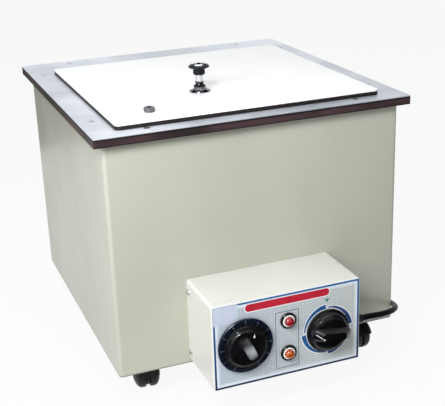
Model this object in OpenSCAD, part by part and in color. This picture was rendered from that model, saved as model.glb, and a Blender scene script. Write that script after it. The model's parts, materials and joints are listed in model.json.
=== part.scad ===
// Mobile bath that melts paraffin wax, with a loose lid, a front control box and four ball castors.
// Millimetres. +Z is up, the control box faces -Y, and the wheels stand on z = 0.
// The origin lies under the middle of the box that holds everything but the mains lead.

/* [Casing] */
// Width of the casing, side to side
body_w = 384; // [352:4:420]
// Depth of the casing, front to back
body_d = 404; // [372:4:440]
// Height of the casing
body_h = 300; // [270:5:340]
// Height of the casing's lower edge above the floor
floor_gap = 47; // [46:1:60]
// Sheet steel of the casing, chassis and control box
sheet = 1.2; // [0.8:0.1:2]
// Outside radius of the casing's upright corners
casing_r = 5; // [2:0.5:10]
// Width of the casing's turned-in hems
hem = 16; // [13:1:20]
// Thickness of the base plate
base_t = 1.5; // [1:0.1:3]
// Length of the base plate's screws
base_screw_l = 8; // [5:0.5:10]

/* [Top] */
// How far the top stands out past the casing
overhang = 11.5; // [8:0.5:20]
// Thickness of the board under the steel top
board_t = 10; // [8:1:16]
// Steel of the tank and of its flange
steel_t = 1; // [0.8:0.1:1.5]
// Radius of the top's corners, seen from above
top_r = 2; // [1:0.5:5]
// Distance of the flange screws from the top's edge
screw_inset = 18; // [16:0.5:20]
// Distance between the two screws on each side of the top
side_screw_pitch = 275; // [240:5:300]
// Distance between the two screws on the front and on the back of the top
front_screw_pitch = 270; // [240:5:300]
// Length of the flange screws
flange_screw_l = 16; // [14:1:22]

/* [Tank] */
// Inside width of the tank
tank_w = 300; // [270:5:306]
// Inside depth of the tank, front to back
tank_d = 285; // [260:5:290]
// Depth of the tank below the top's surface
tank_h = 225; // [180:5:226]
// Inside radius of the tank's upright corners
tank_r = 30; // [20:1:45]
// Inside radius round the tank's floor
tank_floor_r = 15; // [8:1:18]
// Distance of the tank's centre from the casing's centre, to the back
tank_shift = -26; // [-32:1:0]
// Gap between the tank and the board's opening
board_gap = 2; // [1:0.5:4]

/* [Lid] */
// Width of the lid
lid_w = 342; // [330:1:350]
// Depth of the lid, front to back
lid_d = 330; // [320:1:332]
// Thickness of the lid's board
lid_t = 5; // [4:0.5:10]
// Thickness of the white laminate on the lid
skin_t = 1.5; // [0.8:0.1:2]
// Radius of the lid's corners, seen from above
lid_r = 6; // [3:0.5:15]
// Height of the locating rim under the lid
rim_h = 12; // [8:1:20]
// Thickness of the locating rim
rim_t = 2; // [1:0.5:4]
// Gap between the locating rim and the tank's wall
rim_gap = 2; // [1:0.5:5]
// Distance of the lid's knob from the lid's centre, to the right
knob_x = -30; // [-60:1:0]
// Distance of the lid's knob from the lid's centre, to the back
knob_y = -60; // [-90:1:0]
// Diameter of the knob's cap and foot
spool_d = 27; // [22:1:34]
// Height of the lid's knob
spool_h = 37.5; // [34:0.5:45]
// Diameter of the knob's two collars
collar_d = 15.5; // [14:0.5:19]
// Diameter of the knob's waist
waist_d = 9.6; // [8:0.1:12]
// Distance of the thermometer bush from the lid's centre, to the right
bush_x = -118; // [-125:1:-100]
// Distance of the thermometer bush from the lid's centre, to the back
bush_y = -125; // [-127:1:-100]
// Bore of the thermometer bush
bush_bore_d = 7; // [5:0.5:8]
// Outside diameter of the thermometer bush's barrel
bush_barrel_d = 10; // [9:0.5:12]
// Diameter of the thermometer bush's head
bush_head_d = 14; // [13:0.5:18]
// Height of the thermometer bush's head
bush_head_h = 5.5; // [3:0.5:8]

/* [Control box] */
// Width of the control box
box_w = 194; // [180:1:210]
// Distance of the control box's middle from the casing's middle, to the right
box_x = -3; // [-8:1:4]
// How far the control box stands out from the casing
box_d = 85; // [75:1:100]
// Height of the control box
box_h = 111; // [105:1:125]
// Height of the control box above the casing's lower edge
box_rise = 4; // [2:1:12]
// Radius of the control box's long edges
box_r = 4; // [2:0.5:6]
// Chamfer round the control box's front
box_bevel = 1; // [0.5:0.1:1.5]
// Depth of the chassis's side flanges
chassis_flange = 14; // [12:1:18]
// Width of the cable window behind the control box
window_w = 130; // [100:5:140]
// Height of the cable window behind the control box
window_h = 30; // [24:1:36]
// Height of the cable window's middle above the control box's lower edge
window_rise = 70; // [66:1:72]
// Thickness of the front's printed panel
fascia_t = 0.6; // [0.3:0.1:1]
// Margin of the printed panel inside the front's edges
fascia_margin = 1.2; // [1.1:0.1:2]

/* [Controls] */
// Distance of the temperature dial from the control box's centre, to the right
dial_x = -56.5; // [-58:0.5:-52]
// Height of the temperature dial above the control box's lower edge
dial_rise = 54.5; // [50:0.5:60]
// Diameter of the temperature dial
dial_d = 70; // [64:1:74]
// Height of the temperature dial's grip above the panel
dial_h = 20.5; // [18:0.5:21.5]
// Thickness of the dial's skirt
skirt_t = 3.5; // [3:0.5:5]
// Distance of the heat knob from the control box's centre, to the right
heat_x = 52; // [48:0.5:58]
// Height of the heat knob above the control box's lower edge
heat_rise = 50; // [48:0.5:60]
// Diameter of the heat knob
heat_d = 56; // [50:1:60]
// Height of the heat knob above the panel
heat_h = 21.9; // [21.6:0.1:26]
// Gap between the panel and the two knobs
knob_gap = 1; // [0.5:0.1:1.5]
// Diameter of the two control shafts
shaft_d = 6; // [5:0.5:6.5]
// Radial gap between a control shaft and its bush
shaft_gap = 0.05; // [0.03:0.01:0.1]
// Distance of the lamps from the control box's centre, to the right
lamp_x = 0; // [-3:0.5:1]
// Height of the lamps' middle above the control box's lower edge
lamp_rise = 52.3; // [48:0.1:56]
// Distance between the two lamps
lamp_pitch = 43.5; // [36:0.5:52]
// Outside diameter of a lamp's bezel
bezel_d = 20.6; // [19:0.1:22]
// Height of a lamp's lens above the panel
lens_h = 9; // [7:0.5:12]

/* [Heater] */
// Diameter of the heater's metal sheath
heater_d = 8; // [6.5:0.5:9]
// Distance between the heater's legs
heater_pitch = 50; // [44:1:54]
// Half the straight length of a heater leg
heater_reach = 85; // [70:1:92]
// Distance of the clamp studs from the tank's middle
stud_x = 100; // [94:1:110]
// Distance of the clamps from the tank's middle, front and back
clamp_y = 55; // [40:1:70]
// Length of the heater's two tails, from the straight legs' ends to the ends of their beads
heater_tail_l = 28; // [22:1:32]

/* [Castors] */
// Gap between a castor's plate and the hem at the casing's side
castor_side_gap = 8; // [0.5:0.5:20]
// Gap between a castor's plate and the hem at the casing's front or back
castor_end_gap = 2.5; // [0.5:0.5:20]
// Diameter of a castor's wheels
wheel_d = 38; // [34:1:38]
// Distance between a castor's pivot and its axle, seen from above
trail = 13; // [12:0.5:15]
// Width over a castor's two wheels
twin_w = 34; // [30:1:38]
// Thickness of the web between the two wheels
web_t = 5; // [4:0.5:6]
// Diameter of a castor's pivot pin
pivot_d = 8; // [6:0.5:9]
// Diameter of a castor's axle
axle_d = 6; // [5:0.5:7]
// Radial gap of the castor's turning fits
castor_gap = 0.05; // [0.03:0.01:0.1]
// Thickness of a castor's mounting plate
plate_t = 2.5; // [2:0.5:3]

/* [Mains lead] */
// Diameter of the mains lead
lead_d = 8; // [7:0.1:8.4]
// Gap between neighbouring turns of the coil
turn_gap = 0.7; // [0.6:0.1:1]
// Number of turns in the coil
coil_turns = 4.25; // [4.25:2:6.25]
// Radius of the coil's outermost turn, at the middle of the lead
coil_r = 57; // [55:0.5:60]
// Thickness of the strap round the coil
tie_t = 1; // [0.8:0.1:1.2]

/* [Hidden] */
$fn = 48;

// Small gap left between pieces that seat without a fit
seat_gap = 0.3;
// Gap round a fixed shaft or screw in its hole
hole_gap = 0.1;

// Places along Y: the middle of the casing, then its front and the faces in front of it
front_reach = body_d / 2 + box_d + fascia_t + heat_h;
back_reach = body_d / 2 + overhang;
body_y = (front_reach - back_reach) / 2;
casing_front = body_y - body_d / 2;
box_front = casing_front - box_d;
panel_y = box_front - fascia_t;
tank_y = body_y + tank_shift;

// Heights
body_z = floor_gap;
base_z = body_z + sheet;
base_top = base_z + base_t;
board_z = body_z + body_h;
top_z = board_z + board_t + steel_t;
tank_floor_z = top_z - tank_h;
tank_under_z = tank_floor_z - steel_t;
lid_z = top_z;
lid_top_z = lid_z + lid_t + skin_t;
box_z = body_z + box_rise;
window_z = box_z + window_rise;

// Top, seen from above
top_w = body_w + 2 * overhang;
top_d = body_d + 2 * overhang;
flange_screw_places = [
    for (sx = [-1, 1], sy = [-1, 1]) [sx * (top_w / 2 - screw_inset), body_y + sy * side_screw_pitch / 2],
    for (sx = [-1, 1], sy = [-1, 1]) [sx * front_screw_pitch / 2, body_y + sy * (top_d / 2 - screw_inset)]];
flange_screw_head_d = 8;
flange_screw_head_h = 2.2;
flange_screw_d = 4;

// Places of the lid's two holes
knob_place = [knob_x, tank_y + knob_y];
bush_place = [bush_x, tank_y + bush_y];
knob_stud_d = 6;

// Base screws, in the middle of the lower hem
base_screw_places = [
    for (sx = [-1, 1], sy = [-1, 1]) [sx * (body_w / 2 - hem / 2 - sheet), body_y + sy * body_d / 8],
    for (sx = [-1, 1], sy = [-1, 1]) [sx * body_w / 8, body_y + sy * (body_d / 2 - hem / 2 - sheet)]];
base_screw_d = 3.5;
base_screw_head_d = 7;
base_screw_head_h = 1.8;

// Heater: four legs under the tank, its sheath touching the tank's underside
heater_r = heater_d / 2;
heater_z = tank_under_z - heater_r;
heater_front_y = tank_y - heater_reach - heater_tail_l;
terminal_l = 12;
terminal_d = 10;
tail_pin_l = 8;
tail_pin_d = 3;
clamp_t = 2;
clamp_w = 16;
stud_d = 5;
stud_nut_h = 4;
stud_z = tank_under_z - heater_d - clamp_t - stud_nut_h - 3;

// Pocket for the thermostat's bulb, between the first two heater legs
pocket_x = -heater_pitch;
pocket_l = 100;
pocket_wall = 0.8;
pocket_front_y = tank_y - heater_reach - 10;
bulb_d = heater_d - 2 * pocket_wall - 0.6;

// Insulation: a jacket round the tank, and a slab under the heater
castor_screw_nut_h = 3;
castor_screw_stub = 1.2;
wool_z = base_top + castor_screw_nut_h + castor_screw_stub + seat_gap;
wool_gap = 0.5;
wool_top_z = board_z - sheet - flange_screw_l + board_t + sheet + steel_t - 0.5;
slab_top_z = stud_z - seat_gap;

// Control box pieces
cover_screw_inset = 7;
cover_screw_rises = [14, 97];
cover_screw_d = 4;
cover_screw_head_d = 7.5;
cover_screw_head_h = 2;
cover_screw_l = 8;
chassis_gap = 0.3;
chassis_bolt_x = 82;
chassis_bolt_rises = [20, 92];
chassis_bolt_d = 4;
bolt_head_d = 8;
bolt_head_h = 3;
inner_front_y = box_front + sheet;
chassis_y = casing_front - sheet;

// Controls, and the places along X of what the control box carries
dial_at = box_x + dial_x;
heat_at = box_x + heat_x;
lamp_at = box_x + lamp_x;
bush_r = 5;
bush_out = 4;
shaft_share = 0.6;
panel_nut_d = 15;
panel_nut_h = 2.5;
knob_back_y = panel_y - knob_gap;
dial_z = box_z + dial_rise;
heat_z = box_z + heat_rise;
stat_w = 36;
stat_h = 42;
stat_d = 28;
switch_d = 38;
switch_l = 24;
lamp_zs = [box_z + lamp_rise + lamp_pitch / 2, box_z + lamp_rise - lamp_pitch / 2];
lamp_hole_d = 15;
collar_out_d = 15.6;
lens_d = 11;
bezel_h = 3;
collar_h = 3.6;
lamp_step = 0.6;
lamp_body_d = 12.5;
lamp_body_l = 26;
lamp_nut_d = 21;
lamp_nut_h = 3;

// Terminal block on the chassis
block_shift = 22;
block_x = box_x + block_shift;
block_rise = 14;
block_w = 44;
block_h = 20;
block_d = 18;
block_pitch = 13;

// Gland in the right-hand wall of the control box, and its tapered boot
gland_y = casing_front - 25;
gland_z = box_z + 19;
gland_flange_d = 19;
gland_flange_t = 3;
gland_neck_d = 13;
gland_nut_d = 19;
gland_nut_h = 4;
boot_l = 34;
boot_d = 14;
boot_tip_d = 10.4;

// Castors
plate_w = 42;
plate_d = 33;
castor_x = body_w / 2 - hem - castor_side_gap - plate_w / 2;
castor_y = body_d / 2 - hem - castor_end_gap - plate_d / 2;
// Each castor's pivot, and the heading of its trail in degrees
castors = [
    [-castor_x, body_y - castor_y, 84],
    [castor_x, body_y - castor_y, -84],
    [-castor_x, body_y + castor_y, 60],
    [castor_x, body_y + castor_y, 118]];
wheel_r = wheel_d / 2;
plate_z = base_z - plate_t;
plate_r = 4;
plate_hole_x = plate_w / 2 - 5;
plate_hole_y = plate_d / 2 - 4.5;
castor_screw_d = 4;
castor_screw_head_d = 7;
castor_screw_head_h = 1.6;
hood_gap = 1.2;
hood_t = 2;
boss_d = 18;
boss_floor = 2;
hood_top_z = plate_z - seat_gap;
boss_z = wheel_r + sqrt(pow(wheel_r + hood_gap, 2) - pow(trail, 2)) + 0.2;
pivot_l = plate_z - boss_z - boss_floor - 2 * seat_gap;
tread_w = 5;
wheel_side_gap = 0.5;
axle_l = twin_w - 8;
wheel_bore_end = axle_l / 2 + 0.6;

// Mains lead. Its free stretch leaves the boot, rounds the casing's front corner and lies down.
lead_r = lead_d / 2;
lead_sides = 10;
boot_tip_x = box_x + box_w / 2 + gland_flange_t + boot_l;
lead_route = [[boot_tip_x, gland_y, gland_z], [146, -179, 70], [160, -178.2, 68.8], [173.5, -174.2, 67],
    [185.5, -167, 64.7], [195, -157, 62], [200.5, -144, 58.8], [203, -129, 55.2], [203.5, -112, 51],
    [204, -94, 46.3], [204, -76, 41], [204, -58, 35.2], [204, -40, 29.1], [204, -22, 23.2],
    [204, -4, 17.7], [204.5, 14, 12.8], [204.5, 32, 8.8], [204.5, 50, 5.9], [205, 68, 4.4],
    [205, 88, 4], [206, 108, 4], [207, 128, 4], [208, 148, 4], [208.5, 168, 4], [208.5, 188, 4],
    [208, 208, 4], [207, 228, 4.2], [205.5, 248, 4.5], [204, 268, 4.9], [202.5, 288, 5.2],
    [202, 303, 5.2], [202, 317, 5.2]];
coil_x = 145;
coil_y = 325;
coil_z = lead_r + tie_t + 0.2;
coil_pitch = lead_d + turn_gap;
coil_steps = 24;
coil_sides = 6;
turn_half = coil_turns / 2;
climb_half = 0.25;

// The lead's last stretch, from the coil to the plug
tail_route = [[coil_x - lead_d, coil_y + coil_r, coil_z + coil_pitch], [126, 382, 13.9],
    [114, 381.6, 14.5], [102, 380.6, 15.6], [92, 380.1, 16.3], [84, 380, 16.4], [77, 380, 16.4]];
plug_x = 77;
plug_y = 380;
plug_z = 16.4;
plug_boot_l = 24;
plug_l = 34;
plug_w = 44;
plug_h = 32.8;
plug_r = 7;
line_pin_d = 5.08;
line_pin_l = 15;
earth_pin_d = 7.06;
earth_pin_l = 20.6;
pin_pitch = 19.05;
earth_offset = 22.2;
pins_mid = 9;

// Flat outline with rounded corners, its arcs true arcs
module rounded_rect(w, d, r) {
    square([w - 2 * r, d], center = true);
    square([w, d - 2 * r], center = true);
    for (sx = [-1, 1], sy = [-1, 1])
        translate([sx * (w / 2 - r), sy * (d / 2 - r)])
            circle(r);
}

// Upright plate or block with rounded corners
module slab(w, d, h, r) {
    linear_extrude(h)
        rounded_rect(w, d, r);
}

// Upright ring with rounded corners, of wall t inside w by d
module frame_ring(w, d, h, r, t) {
    linear_extrude(h)
        difference() {
            rounded_rect(w, d, r);
            rounded_rect(w - 2 * t, d - 2 * t, max(r - t, 0.5));
        }
}

// Cylinder that starts at the origin and runs to the front, along -Y
module front_cylinder(d, l) {
    rotate([90, 0, 0])
        cylinder(d = d, h = l);
}

// Block that stands on the plane y = 0, runs to the front and has rounded long edges
module front_slab(w, h, l, r) {
    rotate([90, 0, 0])
        linear_extrude(l)
            rounded_rect(w, h, r);
}

// Round-headed screw that points down, its head's seat at z = 0
module screw(d, head_d, head_h, l) {
    rotate_extrude()
        polygon([[0, -l], [d / 2 - 0.4, -l], [d / 2, -l + 0.6], [d / 2, 0], [head_d / 2, 0],
            [head_d / 2, head_h * 0.35], [head_d / 2 * 0.8, head_h * 0.8], [head_d / 2 * 0.45, head_h],
            [0, head_h]]);
}

// Hexagonal nut with a clear hole, standing on z = 0
module nut(across, h, hole) {
    difference() {
        cylinder(d = across, h = h, $fn = 6);
        translate([0, 0, -1])
            cylinder(d = hole, h = h + 2);
    }
}

// Direction of v
function unit(v) = v / norm(v);

// Direction of a route at its point i
function heading(points, i) =
    unit(points[min(i + 1, len(points) - 1)] - points[max(i - 1, 0)]);

// Sideways direction at each point of a route, carried along it without a twist
function sideways(points) =
    let (t = heading(points, 0))
    [for (i = 0, s = unit(cross(t, abs(t.z) < 0.9 ? [0, 0, 1] : [0, 1, 0])); i < len(points);
        i = i + 1, s = i < len(points) ? square_to(s, heading(points, i)) : s) s];

// Part of s that is square to the direction t, as a direction
function square_to(s, t) = unit(s - (s * t) * t);

// Ring of points round p, square to the direction t
function ring_at(p, t, side, r, sides) =
    let (rise = cross(side, t))
    [for (k = [0:sides - 1])
        let (a = 360 * (k + 0.5) / sides)
        p + r * (cos(a) * side + sin(a) * rise)];

// Closed tube of radius r swept along a list of points
module tube(points, r, sides) {
    last = len(points) - 1;
    side = sideways(points);
    rings = [for (i = [0:last]) each ring_at(points[i], heading(points, i), side[i], r, sides)];
    walls = [for (i = [0:last - 1], k = [0:sides - 1])
        let (a = i * sides + k, b = i * sides + (k + 1) % sides)
        each [[a, b, b + sides], [a, b + sides, a + sides]]];
    start_cap = [for (k = [1:sides - 2]) [0, k + 1, k]];
    end_cap = [for (k = [1:sides - 2]) [last * sides, last * sides + k, last * sides + k + 1]];
    polyhedron(rings, concat(walls, start_cap, end_cap));
}

// Smooth step from 0 to 1
function smooth(u) = let (v = min(max(u, 0), 1)) v * v * (3 - 2 * v);

// Radius of the coil after t turns: in at a steady rate, over, and out again
function coil_radius(t) =
    let (u = t - (turn_half - climb_half), r_in = coil_r - coil_pitch * (turn_half - climb_half))
    t < turn_half - climb_half ? coil_r - coil_pitch * t
    : t > turn_half + climb_half ? coil_r - coil_pitch * (coil_turns - t)
    : r_in - coil_pitch * u + coil_pitch * u * u / (2 * climb_half);

// Point on the coil's middle line after t turns
function coil_point(t) = [
    coil_x + coil_radius(t) * cos(360 * t),
    coil_y + coil_radius(t) * sin(360 * t),
    coil_z + coil_pitch * smooth((t - turn_half + climb_half) / (2 * climb_half))];

tie_turn = 0.53;
tie_w = 12;
coil_end_angle = 360 * coil_turns;
coil_end = coil_point(coil_turns);
coil_path = [
    [coil_x + coil_r, coil_y - lead_d, coil_z],
    for (i = [0:coil_steps * coil_turns]) coil_point(i / coil_steps),
    coil_end + lead_d * [-sin(coil_end_angle), cos(coil_end_angle), 0]];

// Least distance between stretches of the coil that are half a turn or more apart
coil_least_gap = min([for (i = [0:len(coil_path) - 1 - coil_steps / 2])
    min([for (j = [i + coil_steps / 2:len(coil_path) - 1]) norm(coil_path[i] - coil_path[j])])])
    - lead_d;
echo(coil_least_gap_mm = coil_least_gap);

// Length of a route
function route_length(points) =
    [for (i = 0, s = 0; i < len(points); i = i + 1,
        s = s + (i < len(points) ? norm(points[i] - points[i - 1]) : 0)) s][len(points) - 1];
echo(lead_length_mm = route_length(lead_route) + route_length(coil_path) + route_length(tail_route));

// Four folded walls with a turned-in hem at each end and a cable window behind the control box
module outer_casing() {
    color("#c3c4b4")
        difference() {
            translate([0, body_y, body_z])
                union() {
                    frame_ring(body_w, body_d, body_h, casing_r, sheet);
                    frame_ring(body_w, body_d, sheet, casing_r, hem);
                    translate([0, 0, body_h - sheet])
                        frame_ring(body_w, body_d, sheet, casing_r, hem);
                }
            translate([box_x, casing_front + sheet + 1, window_z])
                front_slab(window_w, window_h, sheet + 2, 3);
            for (sx = [-1, 1], rise = chassis_bolt_rises)
                translate([box_x + sx * chassis_bolt_x, casing_front + sheet + 1, box_z + rise])
                    front_cylinder(chassis_bolt_d + 2 * hole_gap, sheet + 2);
            for (p = base_screw_places)
                translate([p.x, p.y, body_z - 1])
                    cylinder(d = base_screw_d + 2 * hole_gap, h = sheet + 2);
            for (p = flange_screw_places)
                translate([p.x, p.y, board_z - sheet - 1])
                    cylinder(d = flange_screw_d + 2 * hole_gap, h = sheet + 2);
        }
}

// Flat floor that lies on the casing's lower hem and carries the castors
module base_plate() {
    color("#8c8f8c")
        difference() {
            translate([0, body_y, base_z])
                slab(body_w - 2 * sheet - 2 * seat_gap, body_d - 2 * sheet - 2 * seat_gap, base_t,
                    casing_r - sheet);
            for (p = base_screw_places)
                translate([p.x, p.y, base_z - 1])
                    cylinder(d = base_screw_d + 2 * hole_gap, h = base_t + 2);
            for (c = castors, hx = [-1, 1], hy = [-1, 1])
                translate([c.x + hx * plate_hole_x, c.y + hy * plate_hole_y, base_z - 1])
                    cylinder(d = castor_screw_d + 2 * hole_gap, h = base_t + 2);
        }
}

// Screws up through the lower hem into the base plate
module base_screws() {
    color("silver")
        for (p = base_screw_places)
            translate([p.x, p.y, body_z])
                mirror([0, 0, 1])
                    screw(base_screw_d, base_screw_head_d, base_screw_head_h, base_screw_l);
}

// Dark board ring between the casing and the steel top
module top_board() {
    color("#4b3c3a")
        difference() {
            translate([0, body_y, board_z])
                slab(top_w, top_d, board_t, top_r);
            translate([0, tank_y, board_z - 1])
                slab(tank_w + 2 * steel_t + 2 * board_gap, tank_d + 2 * steel_t + 2 * board_gap,
                    board_t + 2, tank_r + steel_t + board_gap);
            flange_screw_holes();
        }
}

// Holes and countersinks for the flange screws
module flange_screw_holes() {
    for (p = flange_screw_places)
        translate([p.x, p.y, top_z])
            rotate_extrude()
                polygon([[0, 0.5], [flange_screw_head_d / 2 + hole_gap, 0.5],
                    [flange_screw_head_d / 2 + hole_gap, 0],
                    [flange_screw_d / 2 + hole_gap, -flange_screw_head_h],
                    [flange_screw_d / 2 + hole_gap, -board_t - 3], [0, -board_t - 3]]);
}

// Round-bottomed block with rounded upright corners, for the tank's outside and inside
module tank_block(w, d, h, r, floor_r) {
    hull()
        for (sx = [-1, 1], sy = [-1, 1])
            translate([sx * (w / 2 - r), sy * (d / 2 - r), 0])
                rotate_extrude($fn = 32)
                    polygon([[0, 0], for (a = [0:15:90])
                        [r - floor_r + floor_r * sin(a), floor_r - floor_r * cos(a)], [r, h], [0, h]]);
}

// Steel tank with its wide flange, and the bulb's pocket welded under its floor
module wax_tank() {
    color("#dfe2ec") {
        difference() {
            union() {
                translate([0, body_y, top_z - steel_t])
                    slab(top_w, top_d, steel_t, top_r);
                translate([0, tank_y, tank_under_z])
                    tank_block(tank_w + 2 * steel_t, tank_d + 2 * steel_t, tank_h + steel_t / 2,
                        tank_r + steel_t, tank_floor_r + steel_t);
            }
            translate([0, tank_y, tank_floor_z])
                tank_block(tank_w, tank_d, tank_h + 1, tank_r, tank_floor_r);
            flange_screw_holes();
        }
        translate([pocket_x, pocket_front_y, heater_z]) {
            rotate([-90, 0, 0])
                difference() {
                    cylinder(d = heater_d, h = pocket_l);
                    translate([0, 0, -1])
                        cylinder(d = heater_d - 2 * pocket_wall, h = pocket_l - 1);
                }
            translate([-heater_d / 4, pocket_l / 20, heater_r - 0.6])
                cube([heater_d / 2, pocket_l * 0.9, 0.6 + steel_t / 2]);
        }
    }
}

// Countersunk screws through the flange and the board into the casing's upper hem
module flange_screws() {
    color("silver")
        for (p = flange_screw_places)
            translate([p.x, p.y, top_z])
                difference() {
                    rotate_extrude()
                        polygon([[0, 0], [flange_screw_head_d / 2, 0],
                            [flange_screw_d / 2, -flange_screw_head_h],
                            [flange_screw_d / 2, -flange_screw_l + 1], [0.6, -flange_screw_l],
                            [0, -flange_screw_l]]);
                    for (a = [0, 90])
                        rotate(a)
                            cube([4.4, 0.9, 1.6], center = true);
                }
}

// Glass-wool jacket between the tank and the casing, open where the leads pass
module side_insulation() {
    color("#e8d27a")
        difference() {
            translate([0, body_y, wool_z])
                slab(body_w - 2 * sheet - 2 * wool_gap, body_d - 2 * sheet - 2 * wool_gap,
                    wool_top_z - wool_z, casing_r);
            translate([0, tank_y, wool_z - 1])
                slab(tank_w + 2 * steel_t + 2 * wool_gap, tank_d + 2 * steel_t + 2 * wool_gap,
                    wool_top_z - wool_z + 2, tank_r + steel_t);
            translate([0, tank_y, window_z])
                front_slab(3 * heater_pitch + 24, window_h, body_d, 3);
            for (sx = [-1, 1], rise = chassis_bolt_rises)
                translate([box_x + sx * chassis_bolt_x, casing_front + sheet + 8, box_z + rise])
                    front_cylinder(bolt_head_d + 3, 10);
            for (p = base_screw_places)
                translate([p.x, p.y, wool_z - 1])
                    cylinder(d = base_screw_d + 3, h = base_screw_l);
        }
}

// Slab of the same wool under the heater
module base_insulation() {
    color("#e8d27a")
        translate([0, tank_y, wool_z])
            slab(tank_w + 2 * steel_t - 2 * wool_gap, tank_d + 2 * steel_t - 2 * wool_gap,
                slab_top_z - wool_z, tank_r);
}

// Sheathed element bent into four legs, with a ceramic bead and a pin on each end
module heater_element() {
    leg_xs = [-1.5, -0.5, 0.5, 1.5] * heater_pitch;
    color("#6d6a68")
        translate([0, tank_y, heater_z])
            union() {
                for (x = leg_xs)
                    translate([x, heater_reach, 0])
                        front_cylinder(heater_d, 2 * heater_reach);
                for (sx = [-1, 1])
                    translate([sx * heater_pitch, heater_reach, 0])
                        heater_bend();
                translate([0, -heater_reach, 0])
                    rotate(180)
                        heater_bend();
                for (sx = [-1, 1])
                    translate([sx * 1.5 * heater_pitch, -heater_reach, 0]) {
                        front_cylinder(heater_d, heater_tail_l - terminal_l);
                        translate([0, terminal_l - heater_tail_l, 0])
                            front_cylinder(terminal_d - 2, terminal_l);
                        translate([0, -heater_tail_l, 0])
                            front_cylinder(tail_pin_d, tail_pin_l);
                    }
            }
}

// Half ring that joins two heater legs
module heater_bend() {
    rotate_extrude(angle = 180)
        translate([heater_pitch / 2, 0])
            circle(heater_r);
}

// Two bars that press the element to the tank, each on two welded studs with nuts
module heater_clamps() {
    bar_z = tank_under_z - heater_d - clamp_t;
    color("#9a9c9e")
        for (sy = [-1, 1])
            translate([0, tank_y + sy * clamp_y, 0]) {
                difference() {
                    translate([0, 0, bar_z])
                        slab(2 * stud_x + 18, clamp_w, clamp_t, 4);
                    for (sx = [-1, 1])
                        translate([sx * stud_x, 0, bar_z - 1])
                            cylinder(d = stud_d + 2 * hole_gap, h = clamp_t + 2);
                }
                for (sx = [-1, 1])
                    translate([sx * stud_x, 0, 0]) {
                        translate([0, 0, stud_z])
                            cylinder(d = stud_d, h = tank_under_z - stud_z);
                        translate([0, 0, bar_z - stud_nut_h])
                            nut(9.2, stud_nut_h, stud_d + 2 * hole_gap);
                    }
            }
}

// Folded back plate of the control box, bolted to the casing, with a flange at each side
module control_chassis() {
    inner_w = box_w - 2 * sheet - 2 * chassis_gap;
    inner_h = box_h - 2 * sheet - 2 * chassis_gap;
    color("#d9dad5")
        difference() {
            translate([box_x, casing_front, box_z + box_h / 2])
                union() {
                    front_slab(inner_w, inner_h, sheet, box_r - sheet);
                    for (sx = [-1, 1])
                        translate([sx * (inner_w / 2 - sheet / 2), -chassis_flange / 2, 0])
                            cube([sheet, chassis_flange, inner_h - 2 * box_r], center = true);
                }
            translate([box_x, casing_front + 1, window_z])
                front_slab(window_w, window_h, sheet + 2, 3);
            for (sx = [-1, 1], rise = chassis_bolt_rises)
                translate([box_x + sx * chassis_bolt_x, casing_front + 1, box_z + rise])
                    front_cylinder(chassis_bolt_d + 2 * hole_gap, sheet + 2);
            for (sx = [-1, 1], rise = cover_screw_rises)
                translate([box_x, casing_front - cover_screw_inset, box_z + rise])
                    rotate([0, sx * 90, 0])
                        cylinder(d = cover_screw_d + 2 * hole_gap, h = box_w / 2);
        }
}

// Bolts that hold the chassis to the casing, their nuts inside the casing
module chassis_bolts() {
    color("silver")
        for (sx = [-1, 1], rise = chassis_bolt_rises)
            translate([box_x + sx * chassis_bolt_x, chassis_y, box_z + rise])
                rotate([90, 0, 0]) {
                    cylinder(d = bolt_head_d, h = bolt_head_h, $fn = 6);
                    translate([0, 0, -2 * sheet - bolt_head_h - 1])
                        cylinder(d = chassis_bolt_d, h = 2 * sheet + bolt_head_h + 1);
                    translate([0, 0, -2 * sheet - bolt_head_h])
                        cylinder(d = bolt_head_d, h = bolt_head_h, $fn = 6);
                }
}

// Five-sided cover of the control box, open to the back
module control_cover() {
    color("#e6e7e2")
        difference() {
            translate([box_x, casing_front, box_z + box_h / 2])
                union() {
                    front_slab(box_w, box_h, box_d - box_bevel, box_r);
                    translate([0, box_bevel - box_d, 0])
                        hull() {
                            front_slab(box_w, box_h, 0.01, box_r);
                            front_slab(box_w - 2 * box_bevel, box_h - 2 * box_bevel, box_bevel,
                                box_r - box_bevel);
                        }
                }
            translate([box_x, casing_front + 1, box_z + box_h / 2])
                front_slab(box_w - 2 * sheet, box_h - 2 * sheet, box_d + 1 - sheet, box_r - sheet);
            for (p = [[dial_at, dial_z], [heat_at, heat_z]])
                translate([p.x, inner_front_y + 1, p.y])
                    front_cylinder(2 * bush_r + 2 * hole_gap, sheet + 2);
            for (z = lamp_zs)
                translate([lamp_at, inner_front_y + 1, z])
                    front_cylinder(lamp_hole_d + 2 * hole_gap, sheet + 2);
            for (sx = [-1, 1], rise = cover_screw_rises)
                translate([box_x, casing_front - cover_screw_inset, box_z + rise])
                    rotate([0, sx * 90, 0])
                        cylinder(d = cover_screw_d + 2 * hole_gap, h = box_w / 2 + 1);
            translate([box_x + box_w / 2 - sheet - 1, gland_y, gland_z])
                rotate([0, 90, 0])
                    cylinder(d = gland_neck_d + 2 * hole_gap, h = sheet + 2);
        }
}

// Screws through the cover's sides into the chassis's flanges
module cover_screws() {
    color("silver")
        for (sx = [-1, 1], rise = cover_screw_rises)
            translate([box_x + sx * box_w / 2, casing_front - cover_screw_inset, box_z + rise])
                rotate([0, sx * 90, 0])
                    difference() {
                        screw(cover_screw_d, cover_screw_head_d, cover_screw_head_h, cover_screw_l);
                        translate([0, 0, cover_screw_head_h])
                            cube([0.9, 5, 1.4], center = true);
                    }
}

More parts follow.
